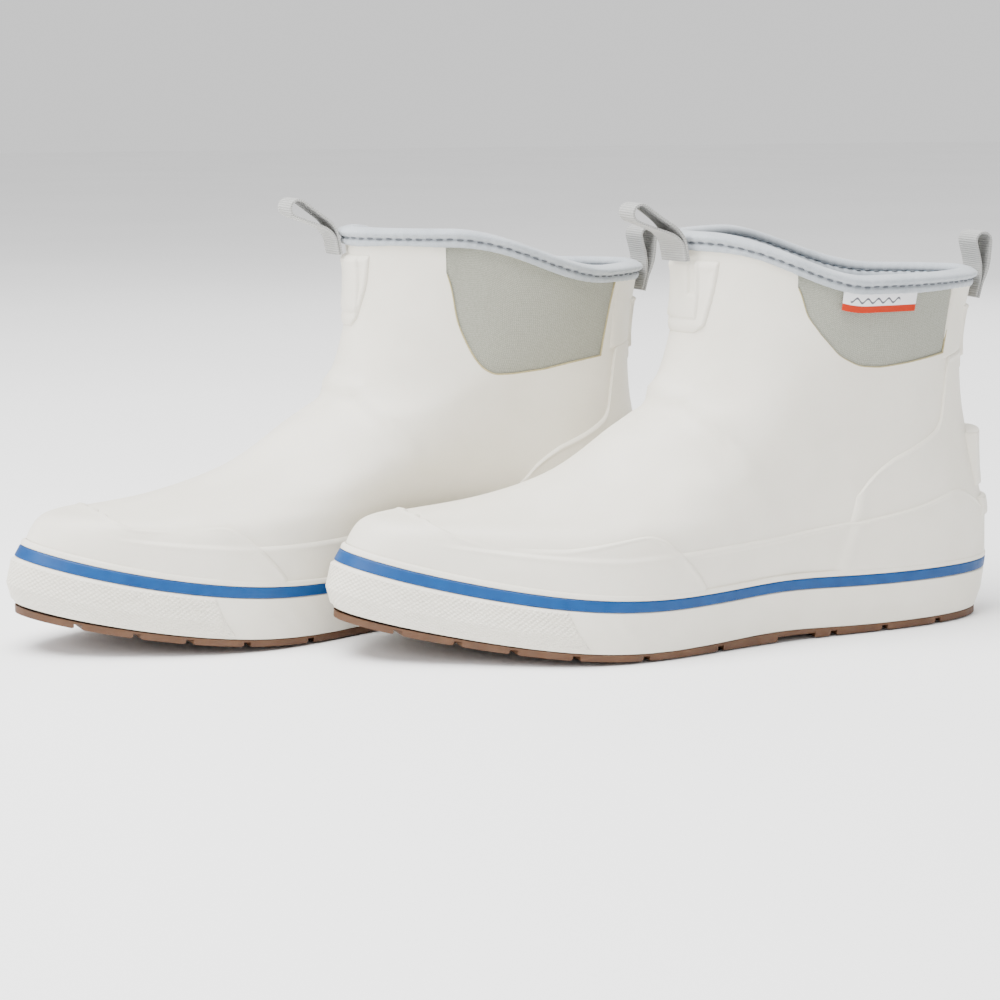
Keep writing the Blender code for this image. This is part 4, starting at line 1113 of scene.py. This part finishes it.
def collar_binding(boot):
    """A soft bound edge: a full roll on top, a stitched groove and a flat hem below it."""
    phi = even_phi(COLLAR_COLUMNS, 0.99)
    below = np.array([row[0] for row in BINDING_PROFILE])
    out = np.array([row[1] for row in BINDING_PROFILE])
    steps = np.linspace(0, len(below), 3 * len(below), endpoint=False)
    below = closed_curve(below, steps)
    out = closed_curve(out, steps)
    line = upper_point(np.ones(COLLAR_COLUMNS), np.radians(phi))
    gaps = np.linalg.norm(np.diff(line, axis=0, append=line[:1]), axis=1)
    walk = np.concatenate([[0], np.cumsum(gaps)])[:-1]
    stitches = round(gaps.sum() / STITCH_PITCH)
    beat = np.cos(walk / gaps.sum() * stitches * 2 * math.pi)
    slow = soft_noise(0.0, phi, 9, 11)
    loops = []
    for height, offset in zip(below, out):
        outside = 1.0 if offset > -2.6 else 0.35
        pucker = bump_line(height - BINDING_GROOVE, 2.6) * 0.22 * beat
        hem = ease(4.5, 8.0, height) * (0.5 * slow + 0.18 * beat)
        t = collar_t(phi, height + 0.35 * hem + 0.25 * slow * ease(3, 9, height))
        loops.append(shell(t, phi, offset + outside * (pucker + 0.16 * hem)))
    piece = make(boot, "collar_binding_fine", *ring(np.stack(loops)), "binding",
                 ["collar_binding"])
    seam = []
    for index in range(stitches):
        middle = (index + 0.5) / stitches * gaps.sum()
        reach = STITCH_LENGTH / 2
        places = np.linspace(middle - reach, middle + reach, 6)
        turns = np.interp(places, np.append(walk, gaps.sum()), np.append(phi, phi[0] + 360))
        arch = np.array([-0.45, 0.1, 0.25, 0.25, 0.1, -0.45])
        for side, level in ((1, STITCH_OUT), (-1, STITCH_IN)):
            below = collar_t(turns, BINDING_GROOVE + 0.15 * (-1) ** index)
            seam.append(tube(shell(below, turns, level + side * arch), STITCH_RADIUS, 6))
    make(boot, "collar_stitching", *joined(seam), "thread")


def closed_curve(values, at):
    """A closed Catmull-Rom curve through values, read at places counted in points."""
    count = len(values)
    i = np.floor(at).astype(int)
    s = at - i
    p = [values[(i + k) % count] for k in (-1, 0, 1, 2)]
    return 0.5 * (2 * p[1] + (p[2] - p[0]) * s + (2 * p[0] - 5 * p[1] + 4 * p[2] - p[3]) * s ** 2
                  + (3 * p[1] - p[0] - 3 * p[2] + p[3]) * s ** 3)


def lining(boot):
    """The knit-faced bootie, seen inside the collar and down to the footbed."""
    columns = 160
    phi = even_phi(columns, 0.3)
    low, high = [wall_height_t(h) for h in FLOOR_LINING]
    rows = np.concatenate([[-0.45], np.linspace(0, 1, 70)])
    top = collar_t(phi, 2.4)
    loops = [shell(np.full(columns, low), phi, np.full(columns, LINING_OUT))]
    for t in rows:
        loops.append(shell(t * (1 if t < 0 else top), phi, np.full(columns, LINING_OUT)))
    for t in rows[::-1]:
        wave = 0.25 * soft_noise(max(t, 0.0), phi, 7, 5) * (0.2 < t < 0.9)
        loops.append(shell(t * (1 if t < 0 else top), phi, LINING_IN + wave))
    loops.append(shell(np.full(columns, high), phi, np.full(columns, LINING_IN)))
    make(boot, "lining_fine", *lidded(np.stack(loops)), "lining", ["lining"])


def footbed(boot):
    """The loose cushioned insole, with rounded edges and a shallow heel cup."""
    columns = 160
    phi = even_phi(columns, 0.1)
    inset = LINING_IN - 0.7
    loops = []
    for height, extra in FOOTBED_SECTION:
        loops.append(shell(np.full(columns, wall_height_t(height)), phi,
                           np.full(columns, inset - extra)))
    piece = make(boot, "footbed_fine", *lidded(np.stack(loops)), "footbed", ["footbed"],
                 body="insole")


# Webbing -----------------------------------------------------------------------------------

def loop_line(tip, length, sewn, count):
    """The middle line of a webbing loop: flat and doubled at its foot, then a drop shape."""
    far = length - tip
    near = LOOP_FLAT
    tilt = math.asin((tip - near) / (far - sewn))
    reach = math.pi / 2 + tilt
    turn = np.linspace(-reach, reach, 60)
    ahead = far + tip * np.cos(turn)
    aside = tip * np.sin(turn)
    ahead = np.concatenate([[0.0, sewn * 0.5, sewn], ahead, [sewn, sewn * 0.5, 0.0]])
    aside = np.concatenate([[-near] * 3, aside, [near] * 3])
    walk = np.concatenate([[0], np.cumsum(np.hypot(np.diff(ahead), np.diff(aside)))])
    at = np.linspace(0, walk[-1], count)
    line = np.stack([np.interp(at, walk, ahead), np.interp(at, walk, aside)], axis=1)
    for _ in range(LOOP_EASING):
        line[1:-1] = (line[:-2] + 2 * line[1:-1] + line[2:]) / 4
    return line, at


def pull_loop(boot, name, plan):
    """Ribbed tape folded into a loop; it turns with its own body about its sewn end."""
    hinge = shell(np.array([plan["t"]]), np.array([plan["phi"]]), LOOP_STAND_OFF)[0]
    reach = np.linspace(0, plan["length"], LOOP_STEPS)
    low, high = np.radians(plan["lean"])
    lean = low + (high - low) * ease(*plan["bend"], reach)
    spine = np.cumsum(np.stack([np.cos(lean), np.sin(lean)]), axis=1) * reach[1]
    line, walk = loop_line(LOOP_TIP - LOOP_WEB / 2, plan["length"] - LOOP_WEB / 2, LOOP_SEWN,
                           LOOP_ROWS)
    run = np.gradient(line, axis=0)
    run /= np.linalg.norm(run, axis=1)[:, None]
    out = np.stack([run[:, 1], -run[:, 0]], axis=1)
    across = np.linspace(-1, 1, 25)
    rib = 0.5 + 0.5 * np.cos(walk / RIB_PITCH * 2 * math.pi)
    hem = np.clip((np.abs(across) - 0.86) / 0.14, 0, 1)
    thick = LOOP_WEB / 2 - 0.12 * hem[None, :] ** 2
    thick = thick - RIB_DEPTH * (1 - rib)[:, None] * (1 - hem)[None, :]
    turned = math.radians(plan["twist"]) if boot.side > 0 else 0.0
    grids = []
    for face in (1, -1):
        place = line[:, None] + face * out[:, None] * thick[..., None]
        far, aside = place[..., 0], place[..., 1]
        tilt = np.interp(far, reach, lean)
        twist = turned * (1 - ease(*LOOP_UNTWIST, far))
        width = LOOP_WIDTH / 2 * across
        x = hinge[0] + np.interp(far, reach, spine[0]) - np.sin(tilt) * aside
        x = x - np.sin(twist) * width
        z = hinge[2] + np.interp(far, reach, spine[1]) + np.cos(tilt) * aside
        grids.append(np.stack([x, hinge[1] + np.cos(twist) * width, z], -1))
    u, v = np.meshgrid(LOOP_WIDTH / 2 * across, walk)
    flow = np.stack([u, v, 0 * u], -1).reshape(-1, 3)
    body = name.replace("_loop", "")
    make(boot, name + "_fine", *slab(*grids), "webbing", [name], body=body,
         flow=np.concatenate([flow, flow]), sharp=70)


def hidden_pieces(boot):
    """CAD solids that keep their shape, inside the boot, in better materials."""
    for node, finish in (("midsole", "foam"), ("shank", "steel"), ("insole_board", "board"),
                         ("toe_puff", "board"), ("heel_stiffener", "board")):
        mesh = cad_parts[boot.name + "_" + node].data
        mesh.materials.clear()
        mesh.materials.append(FINISHES[finish][0])


def build(boot):
    foxing(boot)
    outsole(boot)
    toe_bumper(boot)
    rubber_upper(boot)
    gores(boot)
    toe_cap(boot)
    side_guard(boot)
    heel_counter(boot)
    back_stay(boot)
    pull_patches(boot)
    heel_tabs(boot)
    side_label(boot)
    collar_binding(boot)
    lining(boot)
    footbed(boot)
    pull_loop(boot, "front_pull_loop", FRONT_LOOP)
    pull_loop(boot, "rear_pull_loop", REAR_LOOP)
    hidden_pieces(boot)


# Studio ------------------------------------------------------------------------------------

CAMERA_TARGET = (-25.25, -0.3, 60.0)
CAMERA_TURN = 69.98
CAMERA_RISE = 8.86
CAMERA_AWAY = 1164.05
CAMERA_AIM = (5.32, -9.43)
CAMERA_LENS = 2680.13 / 1000 * 36


def camera():
    turn, rise = math.radians(CAMERA_TURN), math.radians(CAMERA_RISE)
    back = Vector((math.sin(turn) * math.cos(rise), -math.cos(turn) * math.cos(rise),
                   math.sin(rise)))
    right = Vector((math.cos(turn), math.sin(turn), 0.0))
    up = back.cross(right)
    target = Vector(CAMERA_TARGET)
    place = target + back * CAMERA_AWAY
    aim = target + right * CAMERA_AIM[0] + up * CAMERA_AIM[1]
    made = bpy.data.objects.new("camera", bpy.data.cameras.new("camera"))
    made.data.lens = CAMERA_LENS
    made.data.sensor_width = 36.0
    made.location = place * MM
    made.rotation_euler = (place - aim).to_track_quat("Z", "Y").to_euler()
    bpy.context.scene.collection.objects.link(made)
    bpy.context.scene.camera = made


def soft_light(name, place, target, size, power, colour=(1.0, 1.0, 1.0)):
    lamp = bpy.data.lights.new(name, "AREA")
    lamp.shape = "SQUARE"
    lamp.size = size
    lamp.energy = power
    lamp.color = colour
    made = bpy.data.objects.new(name, lamp)
    made.location = place
    made.rotation_euler = (Vector(place) - Vector(target)).to_track_quat("Z", "Y").to_euler()
    bpy.context.scene.collection.objects.link(made)


def studio():
    mesh = bpy.data.meshes.new("floor")
    half = FLOOR_SIZE / 2
    mesh.from_pydata([(-half, -half, 0), (half, -half, 0), (half, half, 0), (-half, half, 0)], [],
                     [(0, 1, 2, 3)])
    floor = bpy.data.objects.new("floor", mesh)
    floor.location = (0.0, 0.0, FLOOR_DROP)
    bpy.context.scene.collection.objects.link(floor)
    paint = Paint("floor_paint", 0.9, Specular_IOR_Level=0.1)
    paint.colour(paint.mix(paint.fit(paint.noise(3.0), 0.3, 0.7, 0.0, 1.0),
                           FLOOR_DARK, FLOOR_LIGHT))
    mesh.materials.append(paint.material)
    world = bpy.data.worlds.new("studio")
    world.use_nodes = True
    world.node_tree.nodes["Background"].inputs[0].default_value = (1.0, 1.0, 1.0, 1.0)
    world.node_tree.nodes["Background"].inputs[1].default_value = WORLD_LIGHT
    bpy.context.scene.world = world
    middle = (0.0, -0.05, 0.08)
    soft_light("top_light", (0.2, -0.6, 1.6), middle, 1.3, TOP_LIGHT)
    soft_light("front_light", (0.5, -1.7, 0.9), middle, 0.8, FRONT_LIGHT)
    soft_light("back_light", (-1.0, 1.0, 0.9), middle, 1.2, BACK_LIGHT)


FLOOR_SIZE = 12.0
FLOOR_DROP = -0.0005
WORLD_LIGHT = 1.0
TOP_LIGHT = 78.0
FRONT_LIGHT = 20.0
BACK_LIGHT = 10.0

build(Boot("left", 1, LEFT_PLACE, 0.0))
build(Boot("right", -1, RIGHT_PLACE, RIGHT_TURN))
camera()
studio()
